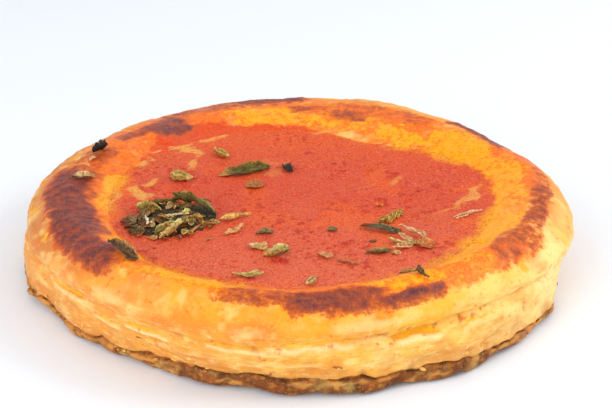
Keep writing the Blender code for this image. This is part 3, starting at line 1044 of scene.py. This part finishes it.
def blade(length, width, seed, fold=0.3, curl=0.2, crumple=0.15, twist=0.0, thickness=0.14, ragged=0.1,
          sharpness=0.8, along_cells=16, across_cells=6):  # fmt: skip
    """A closed thin leaf or leaf fragment with its length along X: points, faces, and how far
    across and along it each point lies, from -1 to 1. fold lifts both edges by a share of the
    width, curl bends the length by a share of itself."""
    u, v = np.meshgrid(
        np.linspace(-0.97, 0.97, along_cells + 1), np.linspace(-1, 1, across_cells + 1), indexing="ij"
    )
    key = np.stack([u * 2 + seed, np.sign(v) * 3.0 + seed, np.zeros_like(u)], axis=-1)
    outline = (1 - np.abs(u) ** 2.2) ** sharpness * (1 + ragged * 2.2 * noise(key, 0.45, seed, 2))
    half = np.maximum(width / 2 * outline, 0.03)
    x, y = length / 2 * u, half * v
    cells = np.stack([x, y, np.full_like(x, 7.0 * seed)], axis=-1)
    z = fold * width * (v**2) * outline + curl * length * (u**2) * 0.5
    z = z + crumple * (noise(cells, 2.2, seed + 1) + 0.5 * noise(cells, 0.9, seed + 2))
    turn = np.radians(twist) * u
    y, z = y * np.cos(turn) - z * np.sin(turn), y * np.sin(turn) + z * np.cos(turn)
    sheet = np.stack([x, y, z], axis=-1)
    normals = np.cross(np.gradient(sheet, axis=0), np.gradient(sheet, axis=1))
    normals /= np.maximum(np.linalg.norm(normals, axis=-1, keepdims=True), 1e-9)
    rows, columns = sheet.shape[:2]
    upper = (sheet + normals * thickness / 2).reshape(-1, 3)
    lower = (sheet - normals * thickness / 2).reshape(-1, 3)
    shift = rows * columns
    faces = []
    for i in range(rows - 1):
        for j in range(columns - 1):
            a, b = i * columns + j, (i + 1) * columns + j
            faces.append((a, b, b + 1, a + 1))
            faces.append((shift + a, shift + a + 1, shift + b + 1, shift + b))
    border = [i * columns for i in range(rows)]
    border += [(rows - 1) * columns + j for j in range(1, columns)]
    border += [i * columns + columns - 1 for i in range(rows - 2, -1, -1)]
    border += [j for j in range(columns - 2, 0, -1)]
    for a, b in zip(border, border[1:] + border[:1]):
        faces.append((b, a, a + shift, b + shift))
    return np.concatenate([upper, lower]), faces, np.tile(v.ravel(), 2), np.tile(u.ravel(), 2)


def leaf_colours(across, along, body, edge, tip=None, midrib=0.25):
    """Colours of a blade: body, lighter at one edge and its midrib, with another colour at one tip."""
    body, edge = srgb(*body), srgb(*edge)
    light = np.maximum(smooth(0.6, 1.0, across), midrib * (1 - smooth(0.05, 0.25, np.abs(across))))
    colours = body + light[:, None] * (edge - body)
    if tip is not None:
        colours = blend(colours, srgb(*tip), smooth(0.35, 0.9, -along))
    return colours


def tube_faces(count, sides):
    """Faces of a closed tube of count rings of sides points."""
    faces = []
    for i in range(count - 1):
        for j in range(sides):
            a, b = i * sides + j, i * sides + (j + 1) % sides
            faces.append((a, b, b + sides, a + sides))
    faces.append(tuple(range(sides - 1, -1, -1)))
    faces.append(tuple(range((count - 1) * sides, count * sides)))
    return faces


def tube(path, radii):
    """A closed tube along path (points in millimetres) with a radius at each point."""
    sides = 7
    ways = np.gradient(path, axis=0)
    ways /= np.linalg.norm(ways, axis=1, keepdims=True)
    across = np.cross(ways, (0, 0, 1.0))
    across /= np.maximum(np.linalg.norm(across, axis=1, keepdims=True), 1e-6)
    up = np.cross(across, ways)
    turns = np.arange(sides) * 2 * math.pi / sides
    circle = across[:, None] * np.cos(turns)[None, :, None] + up[:, None] * np.sin(turns)[None, :, None]
    points = (path[:, None] + circle * radii[:, None, None]).reshape(-1, 3)
    return points, tube_faces(len(path), sides)


def stem(length, thickness, seed, bend):
    """A dry stem along +X, uneven and bent by a share of its length."""
    count = 12
    t = np.linspace(-1, 1, count)
    keys = np.stack([t * 2 + seed, np.zeros(count), np.zeros(count)], axis=-1)
    sideways = bend * length * (1 - t**2) + 0.15 * noise(keys, 0.6, seed)
    path = np.stack([length / 2 * t, sideways, 0.1 * t**2 * length * bend], axis=-1)
    radii = thickness / 2 * (1 + 0.3 * noise(keys, 0.5, seed + 1)) * (1 - 0.6 * np.abs(t) ** 3)
    return tube(path, radii)


def bud(length, width, seed):
    """A ridged oregano bract along +X, pointed at both ends: points, faces, and each point's
    height on its ridge and place along the bract, from -1 to 1."""
    count, sides, ridges = 16, 15, 5
    t = np.linspace(-0.98, 0.98, count)
    turns = np.arange(sides) * 2 * math.pi / sides
    half = width / 2 * (1 - np.abs(t) ** 2) ** 0.6 * (1 - 0.25 * t)
    ridge = 1 + 0.16 * np.cos(ridges * turns)
    x = np.repeat(length / 2 * t[:, None], sides, axis=1)
    y = half[:, None] * ridge[None, :] * np.cos(turns)
    z = 0.62 * half[:, None] * ridge[None, :] * np.sin(turns)
    points = np.stack([x, y, z], axis=-1)
    points = points + 0.05 * width * noise(points + 5.0 * seed, 0.8, seed)[..., None]
    streak = np.tile(np.cos(ridges * turns), count)
    return points.reshape(-1, 3), tube_faces(count, sides), streak, np.repeat(t, sides)


# Leaf colours: (body, edge and veins), sRGB.
OLIVE = ((140, 112, 44), (214, 188, 104))
DARK = ((76, 62, 34), (126, 106, 62))
BLACK = ((50, 42, 36), (104, 88, 70))
GREEN = ((128, 112, 58), (186, 168, 102))
PALE = ((196, 172, 96), (244, 226, 160))
STRAW = ((220, 174, 104), (248, 218, 162))
BROWN = ((130, 80, 44), (182, 128, 80))
GREY = ((140, 112, 76), (180, 148, 104))
GOLD = ((150, 100, 40), (208, 160, 82))
ROSY = ((238, 178, 128), (252, 218, 174))

# Single blades: (x, y, lift off what they lie on, length, width, turn, tilt, roll, fold, curl, twist,
# palette, colour of the -X tip or None).
BLADES = (
    (-7.5, 0.9, 0.0, 3.6, 3.0, 17, 4, 0, 0.10, 0.05, 10, ((190, 114, 62), (224, 162, 100)), None),
    (-1.2, 9.4, 0.0, 4.8, 1.6, -66, 6, 20, 0.4, 0.08, 40, BLACK, (160, 136, 104)),
    (-5.0, -20.0, 0.0, 3.2, 1.8, 0, 3, 0, 0.2, 0.05, 10, GREY, None),
    (-5.9, -26.5, 0.0, 3.6, 2.2, -22, 6, 10, 0.2, 0.1, 20, STRAW, (240, 214, 170)),
    (-2.7, -28.9, 0.0, 4.8, 2.5, 32, 8, -15, 0.35, 0.15, 50, PALE, (236, 196, 120)),
    (-1.4, -28.0, 0.4, 2.4, 1.2, 64, 20, 20, 0.3, 0.15, 30, OLIVE, None),
    (-7.4, -37.0, 0.0, 5.6, 1.3, -4, 2, 10, 0.25, 0.06, 30, PALE, (240, 190, 110)),
    (15.6, -18.7, 0.0, 7.8, 1.7, -19, 2, 12, 0.35, 0.05, 25, ((108, 94, 70), (150, 132, 104)), BROWN[0]),
    (14.8, -28.1, 0.0, 4.4, 1.8, 16, 3, -10, 0.3, 0.06, 20, GREEN, None),
    (17.8, -28.2, 0.0, 1.8, 1.0, -20, 5, 10, 0.3, 0.1, 20, STRAW, None),
    (7.0, -19.3, 0.0, 1.9, 1.7, 15, 4, 0, 0.1, 0.1, 10, GREY, None),
    (14.0, -23.3, 0.0, 1.4, 0.9, 0, 4, 0, 0.1, 0.1, 10, BROWN, None),
    (5.6, -29.2, 0.0, 3.8, 1.6, -44, 4, 0, 0.15, 0.1, 10, ((226, 156, 104), (244, 190, 140)), None),
    (9.4, -31.6, 0.0, 4.4, 0.8, -23, 2, 0, 0.15, 0.1, 10, ((204, 108, 66), (230, 156, 104)), None),
    (-28.5, -31.4, 0.0, 7.2, 2.5, -32, 0, 24, 0.5, 0.2, 45, ((112, 84, 60), (214, 166, 104)), (96, 76, 58)),
    (-10.5, -19.8, 0.0, 4.4, 1.3, 40, 4, 0, 0.2, 0.08, 20, ((240, 172, 112), (250, 208, 152)), None),
    (-40.0, 2.0, 0.0, 4.8, 2.2, 37, 0, 0, 0.3, 0.06, 20, ((222, 182, 124), (246, 220, 176)), (96, 64, 46)),
    (-38.2, 15.0, 0.0, 3.4, 2.4, -60, 40, 10, 0.5, 0.3, 60, ((34, 30, 30), (84, 76, 70)), None),
    (-38.7, 14.2, 0.2, 2.6, 1.7, 10, 30, -20, 0.5, 0.3, 50, ((28, 26, 28), (70, 64, 60)), None),
    (-38.0, 15.8, 0.9, 2.0, 1.4, 80, 20, 20, 0.4, 0.3, 40, ((40, 34, 32), (92, 82, 74)), None),
    (-39.6, 11.6, 0.0, 1.8, 0.9, 60, 5, 0, 0.3, 0.1, 20, ROSY, None),
)  # fmt: skip
LARGE_LEAF = (11.0, 3.0, 25, 2, 14)  # length, width, turn, tilt and roll of the big leaf
LARGE_LEAF_COLOURS = ((104, 92, 34), (160, 138, 62), (226, 170, 96), (70, 62, 30))  # body, edge, tip, blotch

# Ribbons of a dry split calyx: (x, y, lift, length, width, turn, palette).
CALYX = (
    (20.8, -20.8, 0.5, 4.8, 1.3, 163, ROSY),
    (19.8, -23.1, 0.3, 3.8, 1.0, 133, ROSY),
    (18.8, -24.7, 0.1, 4.8, 1.2, 153, PALE),
    (19.1, -26.5, 0.0, 4.6, 1.1, 214, ROSY),
    (22.1, -22.5, 0.6, 2.8, 1.5, 135, ROSY),
    (21.6, -24.6, 0.2, 3.4, 1.0, 170, STRAW),
    (23.0, -25.2, 0.0, 3.6, 2.4, -29, ((218, 130, 72), (238, 168, 106))),
)  # fmt: skip

BUDS = (  # (x, y, length, width, turn, tilt, body, streak)
    (-21.6, 4.1, 6.0, 2.4, -42, 4, (176, 148, 60), (236, 208, 130)),
    (-14.3, 16.1, 5.2, 1.8, -58, 5, (172, 134, 52), (236, 196, 108)),
    (3.2, -39.2, 2.1, 1.6, 39, 20, (188, 148, 80), (242, 214, 156)),
)  # fmt: skip

SPIKE = (18.1, -13.4, 5.4, 54)  # flower spike: x, y, length, turn
SPIKE_BUDS = 9
SPIKE_SPREAD = 0.55  # of the first bud's middle from the spike's, and half that of the last
SPIKE_LEAN = 38  # degrees that its buds lean out
SPIKE_COLOURS = ((166, 116, 34), (240, 200, 104))

STEMS = (  # (x, y, lift off what they lie on, length, thickness, turn, bend, colour)
    (-10.5, -14.4, 0.0, 6.4, 0.9, 20, 0.05, (244, 196, 110)),
    (31.8, -12.0, 0.0, 6.4, 0.5, 33, 0.08, (252, 206, 158)),
    (30.8, -12.6, 0.0, 4.2, 0.4, 43, -0.1, (250, 196, 144)),
    (19.8, -35.7, 0.0, 3.6, 0.8, -14, 0.1, (186, 152, 100)),
    (21.8, -39.0, 0.0, 3.4, 0.7, -63, -0.2, (104, 80, 58)),
    (-15.9, 19.6, 0.0, 2.4, 0.35, 100, 0.05, (246, 176, 120)),
    (15.9, -8.5, 0.0, 1.4, 0.7, -20, 0.02, (252, 150, 60)),
    (-14.7, -23.0, 0.0, 1.6, 0.3, 30, 0.1, (206, 150, 96)),
)  # fmt: skip

# The heap's larger leaves: (x, y, height, length, width, turn, tilt, roll, fold, curl, twist,
# palette, tip), measured from the heap's middle on the sauce. Two near-black rows are sheets of painted shade
# under the leaves over them.
HEAP_BLADES = (
    (4.1, 4.0, 2.0, 8.8, 4.0, -33, -8, -34, 0.22, -0.08, 20, ((122, 104, 48), (184, 164, 100)), None),
    # Painted shade: a near-black sheet under the big top leaf, for its shaded underside.
    (5.6, 1.0, 1.1, 5.8, 3.2, -16, -6, 50, 0.12, 0.06, 10, ((44, 42, 28), (86, 80, 50)), None),
    (-1.2, 4.6, 1.7, 5.8, 2.6, 12, 8, -26, 0.25, 0.06, 16, ((128, 108, 52), (178, 156, 92)), None),
    (1.6, 5.4, 2.6, 3.6, 2.4, -10, 0, -10, 0.3, 0.1, 20, ((140, 118, 60), (190, 166, 100)), None),
    (-4.2, 3.3, 1.0, 6.0, 2.2, -30, 2, 30, 0.45, 0.08, 25,
        ((126, 106, 40), (222, 196, 104)), (226, 198, 104)),
    # Painted shade: a near-black sheet under the curled leaf with the pale edge, for the shade beneath it.
    (-2.6, 2.2, 0.5, 4.4, 2.2, -34, 0, -20, 0.2, 0.10, 20, ((40, 34, 28), (84, 70, 50)), None),
    (0.9, -6.2, 1.1, 5.8, 3.0, 53, 12, -28, 0.35, 0.12, 40,
        ((214, 200, 124), (250, 242, 190)), (240, 222, 150)),
    (-0.6, -5.2, 0.8, 4.4, 2.2, 30, 10, 16, 0.35, 0.12, 40, ((150, 142, 70), (220, 206, 130)), None),
    (-1.4, -6.2, 0.4, 2.8, 1.8, -22, 6, 10, 0.3, 0.10, 30, ((124, 116, 56), (184, 170, 98)), None),
    (-7.2, -0.8, 0.4, 3.8, 2.2, -7, 4, 12, 0.30, 0.10, 25, ((120, 78, 52), (170, 122, 84)), None),
    (-6.6, -2.6, 0.5, 3.2, 1.6, 24, 4, -14, 0.30, 0.10, 25, ((104, 82, 56), (160, 132, 92)), None),
    (-5.6, -5.0, 0.3, 3.4, 2.0, -18, 4, 12, 0.25, 0.10, 30, ((108, 92, 58), (156, 134, 86)), None),
    (4.2, -1.4, 0.8, 3.8, 2.0, -7, 6, 22, 0.30, 0.10, 35, GOLD, None),
    (3.4, -5.8, 0.4, 2.6, 1.6, -33, 4, -10, 0.30, 0.10, 25, ((184, 132, 52), (230, 184, 98)), None),
    (2.6, -3.4, 0.7, 2.8, 1.4, 40, 8, 20, 0.35, 0.10, 35, GOLD, None),
    (-2.5, -7.4, 0.2, 2.2, 1.4, -39, 4, 10, 0.2, 0.1, 20, ((226, 156, 96), (246, 196, 136)), None),
    (-0.4, 3.2, 1.7, 2.4, 1.3, 68, 10, 10, 0.2, 0.1, 20, ((200, 160, 108), (232, 200, 144)), None),
    (-0.2, -1.2, 1.1, 2.2, 1.4, 62, 10, 10, 0.3, 0.1, 20, ((214, 204, 130), (248, 240, 186)), None),
    (2.6, 1.0, 1.5, 2.2, 1.1, 32, 10, 10, 0.3, 0.1, 20, ((204, 198, 104), (240, 234, 156)), None),
    (1.2, 1.4, 1.3, 2.0, 0.9, -40, 10, -20, 0.3, 0.1, 20, BROWN, None),
)  # fmt: skip
HEAP_STEMS = (  # (x, y, height, length, thickness, turn, bend, colour)
    (5.7, -3.2, 0.6, 5.6, 0.4, 55, 0.08, (222, 166, 104)),
    (7.0, -2.2, 0.5, 4.2, 0.3, 40, -0.1, (206, 150, 90)),
    (4.6, -4.6, 0.6, 3.6, 0.3, 62, 0.1, (196, 140, 84)),
    (5.8, 6.9, 1.2, 3.2, 0.4, -25, 0.05, (198, 116, 72)),
    (1.8, -1.0, 1.9, 3.4, 0.45, 11, 0.05, (248, 226, 184)),
    (-4.0, -3.3, 1.9, 3.8, 0.5, -74, 0.05, (255, 246, 224)),
    (-3.2, -3.6, 1.7, 3.0, 0.4, -52, -0.1, (250, 220, 176)),
    (-6.1, -2.1, 0.8, 2.6, 0.3, 50, 0.1, (156, 122, 90)),
    (1.0, 2.4, 2.0, 2.6, 0.25, 70, 0.1, (206, 170, 110)),
    (3.4, 2.6, 1.9, 2.4, 0.25, 20, 0.1, (186, 130, 80)),
)  # fmt: skip
HEAP_BITS = 64
HOLLOW = (-0.6, 1.0, 2.4)  # x, y and radius of the hollow between the larger leaves, kept free of bits so that the core's painted shade shows there
CORE_COLUMNS, CORE_RINGS = 64, 14
CORE_REACH = 0.78  # share of the heap's half width
CORE_RISE = 0.4  # share of the heap's height
PIECE_RAGGEDNESS, PIECE_SHARPNESS = 0.12, 0.6
PIECE_CRUMPLE, CRUMPLE_BY_LENGTH = 0.10, 0.035


def blade_of(spot, seed):
    """The blade of one row of a table, turned about the origin: points, faces and colours."""
    _, _, _, length, width, turn, tilt, roll, fold, curl, twist, palette, tip = spot
    points, faces, across, along = blade(
        length, width, seed, fold=fold, curl=curl, twist=twist, ragged=PIECE_RAGGEDNESS,
        crumple=PIECE_CRUMPLE + CRUMPLE_BY_LENGTH * length, sharpness=PIECE_SHARPNESS,
    )  # fmt: skip
    return placed(points, (0, 0, 0), turn, tilt, roll), faces, leaf_colours(across, along, *palette, tip=tip)


def stem_of(spot, seed):
    """The stem of one row of a table, turned about the origin: points, faces and colours."""
    _, _, _, length, thickness, turn, bend, colour = spot
    points, faces = stem(length, thickness, seed, bend)
    points = placed(points, (0, 0, 0), turn)
    shade = 1 + 0.18 * noise(points, 0.8, seed + 5, 2)
    return points, faces, np.clip(srgb(*colour) * shade[:, None], 0, 1)


def add_bud(heap, top, spot, seed, lift=0.0):
    """Lays the bud of one row of BUDS on top and adds it to heap."""
    x, y, length, width, turn, tilt, body, streak = spot
    points, faces, ridge, along = bud(length, width, seed)
    points = top.lay(placed(points, (0, 0, 0), turn, tilt), x, y, length / 2, lift)
    colours = srgb(*body) + smooth(0.1, 0.9, ridge)[:, None] * (srgb(*streak) - srgb(*body))
    colours = blend(colours, srgb(*streak), smooth(0.6, 1.0, np.abs(along)))
    heap.add(points, faces, colours)


def heap_core(base, half, rise):
    """Points, faces and colours of the small mound under the leaf pieces, painted dark as the shade inside
    the heap, with lighter brown patches.
    """
    turns = np.arange(CORE_COLUMNS) * 2 * math.pi / CORE_COLUMNS
    slope = np.linspace(0.5 * math.pi, 0.03, CORE_RINGS)
    reach = np.sin(slope)[None, :] * (CORE_REACH + 0.06 * np.cos(3 * turns))[:, None]
    x = reach * half[0] * np.cos(turns)[:, None]
    y = reach * half[1] * np.sin(turns)[:, None]
    z = np.broadcast_to(CORE_RISE * rise * np.cos(slope)[None, :] - 0.1, reach.shape)
    dome = np.stack([x, y, z], axis=-1)
    dome = dome * (1 + 0.16 * noise(dome, 2.0, 400, 2) + 0.12 * noise(dome, 0.9, 401, 2))[..., None]
    flat = (dome + base).reshape(-1, 3)
    ends = np.array([base + (0, 0, -0.1), base + (0, 0, (CORE_RISE + 0.01) * rise)])
    # Painted shade: the core's dark brown stands for the shade deep inside the heap.
    core_shade_colours = np.broadcast_to(srgb(52, 40, 28), flat.shape)
    core_shade_colours = blend(core_shade_colours, srgb(116, 86, 48), smooth(-0.1, 0.8, noise(flat, 0.8, 402)))
    core_shade_colours = np.concatenate([core_shade_colours, np.tile(srgb(70, 62, 40), (2, 1))])
    faces = ring_faces(CORE_COLUMNS, CORE_RINGS, len(flat), len(flat) + 1)
    return np.concatenate([flat, ends]), faces, core_shade_colours


def heap_bit(random, half, rise):
    """One small random leaf piece of the heap, as a row like those of HEAP_BLADES."""
    out = random.uniform(0.05, 1.0) ** 0.55
    turn = random.uniform(0, 2 * math.pi)
    x, y = half[0] * out * math.cos(turn), half[1] * out * math.sin(turn)
    length = random.uniform(1.0, 3.0) * (1.15 - 0.5 * out)
    height = 0.38 * rise * max(0.0, 1 - out**2) ** 0.7 * random.uniform(0.75, 1.15) + 0.2
    on_left = x < -0.45 * half[0]
    palettes = (BROWN, DARK, GREY, GREY) if on_left else (OLIVE, GOLD, PALE, GOLD, BROWN, STRAW, GREEN)
    return (
        x, y, height, length, length * random.uniform(0.35, 0.8), random.uniform(0, 360),
        random.uniform(-25, 30), random.uniform(-45, 45), random.uniform(0.1, 0.5),
        random.uniform(-0.15, 0.25), random.uniform(-50, 50),
        palettes[random.integers(len(palettes))], None,
    )  # fmt: skip


def make_herb_heap(surface, top, box):
    """The heap: leaf pieces, bits and stems over a small core painted dark as the shade inside the heap."""
    low, high = np.array(box[0]) / MM, np.array(box[1]) / MM
    middle = (low + high) / 2
    base = np.array([middle[0], middle[1], top.height(middle[0], middle[1])])
    half = (high - low)[:2] / 2
    rise = high[2] - base[2]
    random = np.random.default_rng(SEED + 1)

    core = Heap("herb_heap_shade_core")
    core.add(*heap_core(base, half, rise))
    made = [core.finish(surface)]
    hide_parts("herb_heap")

    drawn = [heap_bit(random, half, rise) for _ in range(HEAP_BITS)]
    bits = [(k, spot) for k, spot in enumerate(drawn) if math.dist(spot[:2], HOLLOW[:2]) >= HOLLOW[2]]
    for name, piece_of, first_seed, seed_step, spots in (
        ("herb_heap_leaves", blade_of, 420, 3, enumerate(HEAP_BLADES)),
        ("herb_heap_bits", blade_of, 500, 3, bits),
        ("herb_heap_stems", stem_of, 900, 1, enumerate(HEAP_STEMS)),
    ):
        heap = Heap(name)
        for k, spot in spots:
            points, faces, colours = piece_of(spot, first_seed + seed_step * k)
            heap.add(points + base + spot[:3], faces, colours)
        made.append(heap.finish(surface))
    return made


def make_large_leaf(surface, top, box):
    """The large folded leaf behind the heap."""
    middle = (np.array(box[0]) + np.array(box[1])) / 2 / MM
    length, width, turn, tilt, roll = LARGE_LEAF
    body, edge, tip, blotch = LARGE_LEAF_COLOURS
    points, faces, across, along = blade(
        length, width, 950, fold=0.30, curl=0.04, twist=14, crumple=0.2, ragged=0.12, sharpness=0.75,
        along_cells=40, across_cells=14,
    )  # fmt: skip
    colours = leaf_colours(across, along, body, edge, tip, midrib=0.35)
    colours = blend(colours, srgb(*blotch), 0.55 * smooth(-0.5, 0.8, noise(points, 1.6, 951, 2)))
    leaf = Heap("large_leaf_blade")
    points = placed(points, (0, 0, 0), turn, tilt, roll)
    leaf.add(top.lay(points, *middle[:2], length / 2), faces, colours)
    made = leaf.finish(surface)
    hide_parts("large_leaf")
    return made


def laid_rows(name, piece_of, rows, first_seed, seed_step, top):
    """A heap of the pieces of a table's rows, each laid on top where its row says."""
    heap = Heap(name)
    for k, spot in enumerate(rows):
        points, faces, colours = piece_of(spot, first_seed + seed_step * k)
        x, y, lift, length = spot[:4]
        heap.add(top.lay(points, x, y, length / 2, lift), faces, colours)
    return heap


def make_scattered(surface, top):
    """Leaf pieces, buds, stems and a split calyx that lie about on the sauce and the rim."""
    leaves = laid_rows("scattered_leaves", blade_of, BLADES, 1000, 3, top)
    buds = Heap("scattered_buds")
    for k, spot in enumerate(BUDS):
        add_bud(buds, top, spot, 1100 + k)
    x, y, length, turn = SPIKE
    way = np.array([math.cos(math.radians(turn)), math.sin(math.radians(turn))])
    for k in range(SPIKE_BUDS):
        share, sign = k / (SPIKE_BUDS - 1), (-1) ** k
        side = SPIKE_SPREAD * sign * (1 - 0.5 * share)
        at = np.array([x, y]) + (share - 0.5) * length * way + side * np.array([-way[1], way[0]])
        lean = turn - SPIKE_LEAN * sign
        spot = (*at, 2.0 - 0.08 * k, 1.15 - 0.05 * k, lean, 18, *SPIKE_COLOURS)
        add_bud(buds, top, spot, 1120 + k, 0.1)
    stems = laid_rows("scattered_stems", stem_of, STEMS, 1150, 1, top)
    ribbons = [
        (x, y, lift, length, width, turn, 4, 20 * (-1) ** k, 0.4, 0.08, 25, palette, None)
        for k, (x, y, lift, length, width, turn, palette) in enumerate(CALYX)
    ]
    calyx = laid_rows("split_calyx", blade_of, ribbons, 1200, 3, top)
    return [part.finish(surface) for part in (leaves, buds, stems, calyx)]


# ---------------------------------------------------------------- put together
def main():
    baked = crust_surface()
    crust, points, normals = make_pastry(baked)
    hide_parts("pastry")
    sauce = make_sauce(sauce_surface())
    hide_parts("sauce")
    flakes = make_flakes(baked, points, normals)
    herb = herb_surface()
    top = Top([crust, sauce])
    herbs = make_herb_heap(herb, top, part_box("herb_heap"))
    herbs.append(make_large_leaf(herb, top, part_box("large_leaf")))
    herbs += make_scattered(herb, top)
    for slot, pieces in (("baked_pastry", [crust, flakes]), ("tomato_sauce", [sauce]), ("dried_herb", herbs)):
        for piece in pieces:
            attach(piece, "root")


def make_stage():
    """White table, soft light and the camera."""
    size = TABLE_REACH * MM
    corners = [(-size, -size, 0), (size, -size, 0), (size, size, 0), (-size, size, 0)]
    mesh = bpy.data.meshes.new("table")
    mesh.from_pydata(corners, [], [(0, 1, 2, 3)])
    table = bpy.data.objects.new("table", mesh)
    bpy.context.scene.collection.objects.link(table)
    white = Shader("white_table", 0.6, 0.2)
    table.data.materials.append(white.finish(srgb(*TABLE_COLOUR)))

    world = bpy.data.worlds.new("studio")
    world.use_nodes = True
    background = world.node_tree.nodes["Background"]
    background.inputs["Color"].default_value = WORLD_COLOUR
    background.inputs["Strength"].default_value = WORLD_STRENGTH
    bpy.context.scene.world = world
    for softbox in SOFTBOXES:
        add_softbox(*softbox)

    aim = Vector(CAMERA_AIM) * MM
    rise = math.radians(CAMERA_ELEVATION)
    back = Vector((0, -math.cos(rise), math.sin(rise)))
    camera = bpy.data.cameras.new("camera")
    camera.lens = CAMERA_LENS
    camera.clip_start = 0.01
    seat = bpy.data.objects.new("camera", camera)
    seat.location = aim + CAMERA_DISTANCE * MM * back
    seat.rotation_euler = back.to_track_quat("Z", "Y").to_euler()
    bpy.context.scene.collection.objects.link(seat)
    bpy.context.scene.camera = seat
    bpy.context.scene.view_settings.view_transform = "Standard"


def add_softbox(name, place, size, power):
    """A square area light at place, aimed at the pizza. power is in watts."""
    light = bpy.data.lights.new(name, "AREA")
    light.size = size * MM
    light.energy = power
    lamp = bpy.data.objects.new(name, light)
    lamp.location = Vector(place) * MM
    away = lamp.location - Vector(SOFTBOX_AIM) * MM
    lamp.rotation_euler = away.to_track_quat("Z", "Y").to_euler()
    bpy.context.scene.collection.objects.link(lamp)


main()
make_stage()
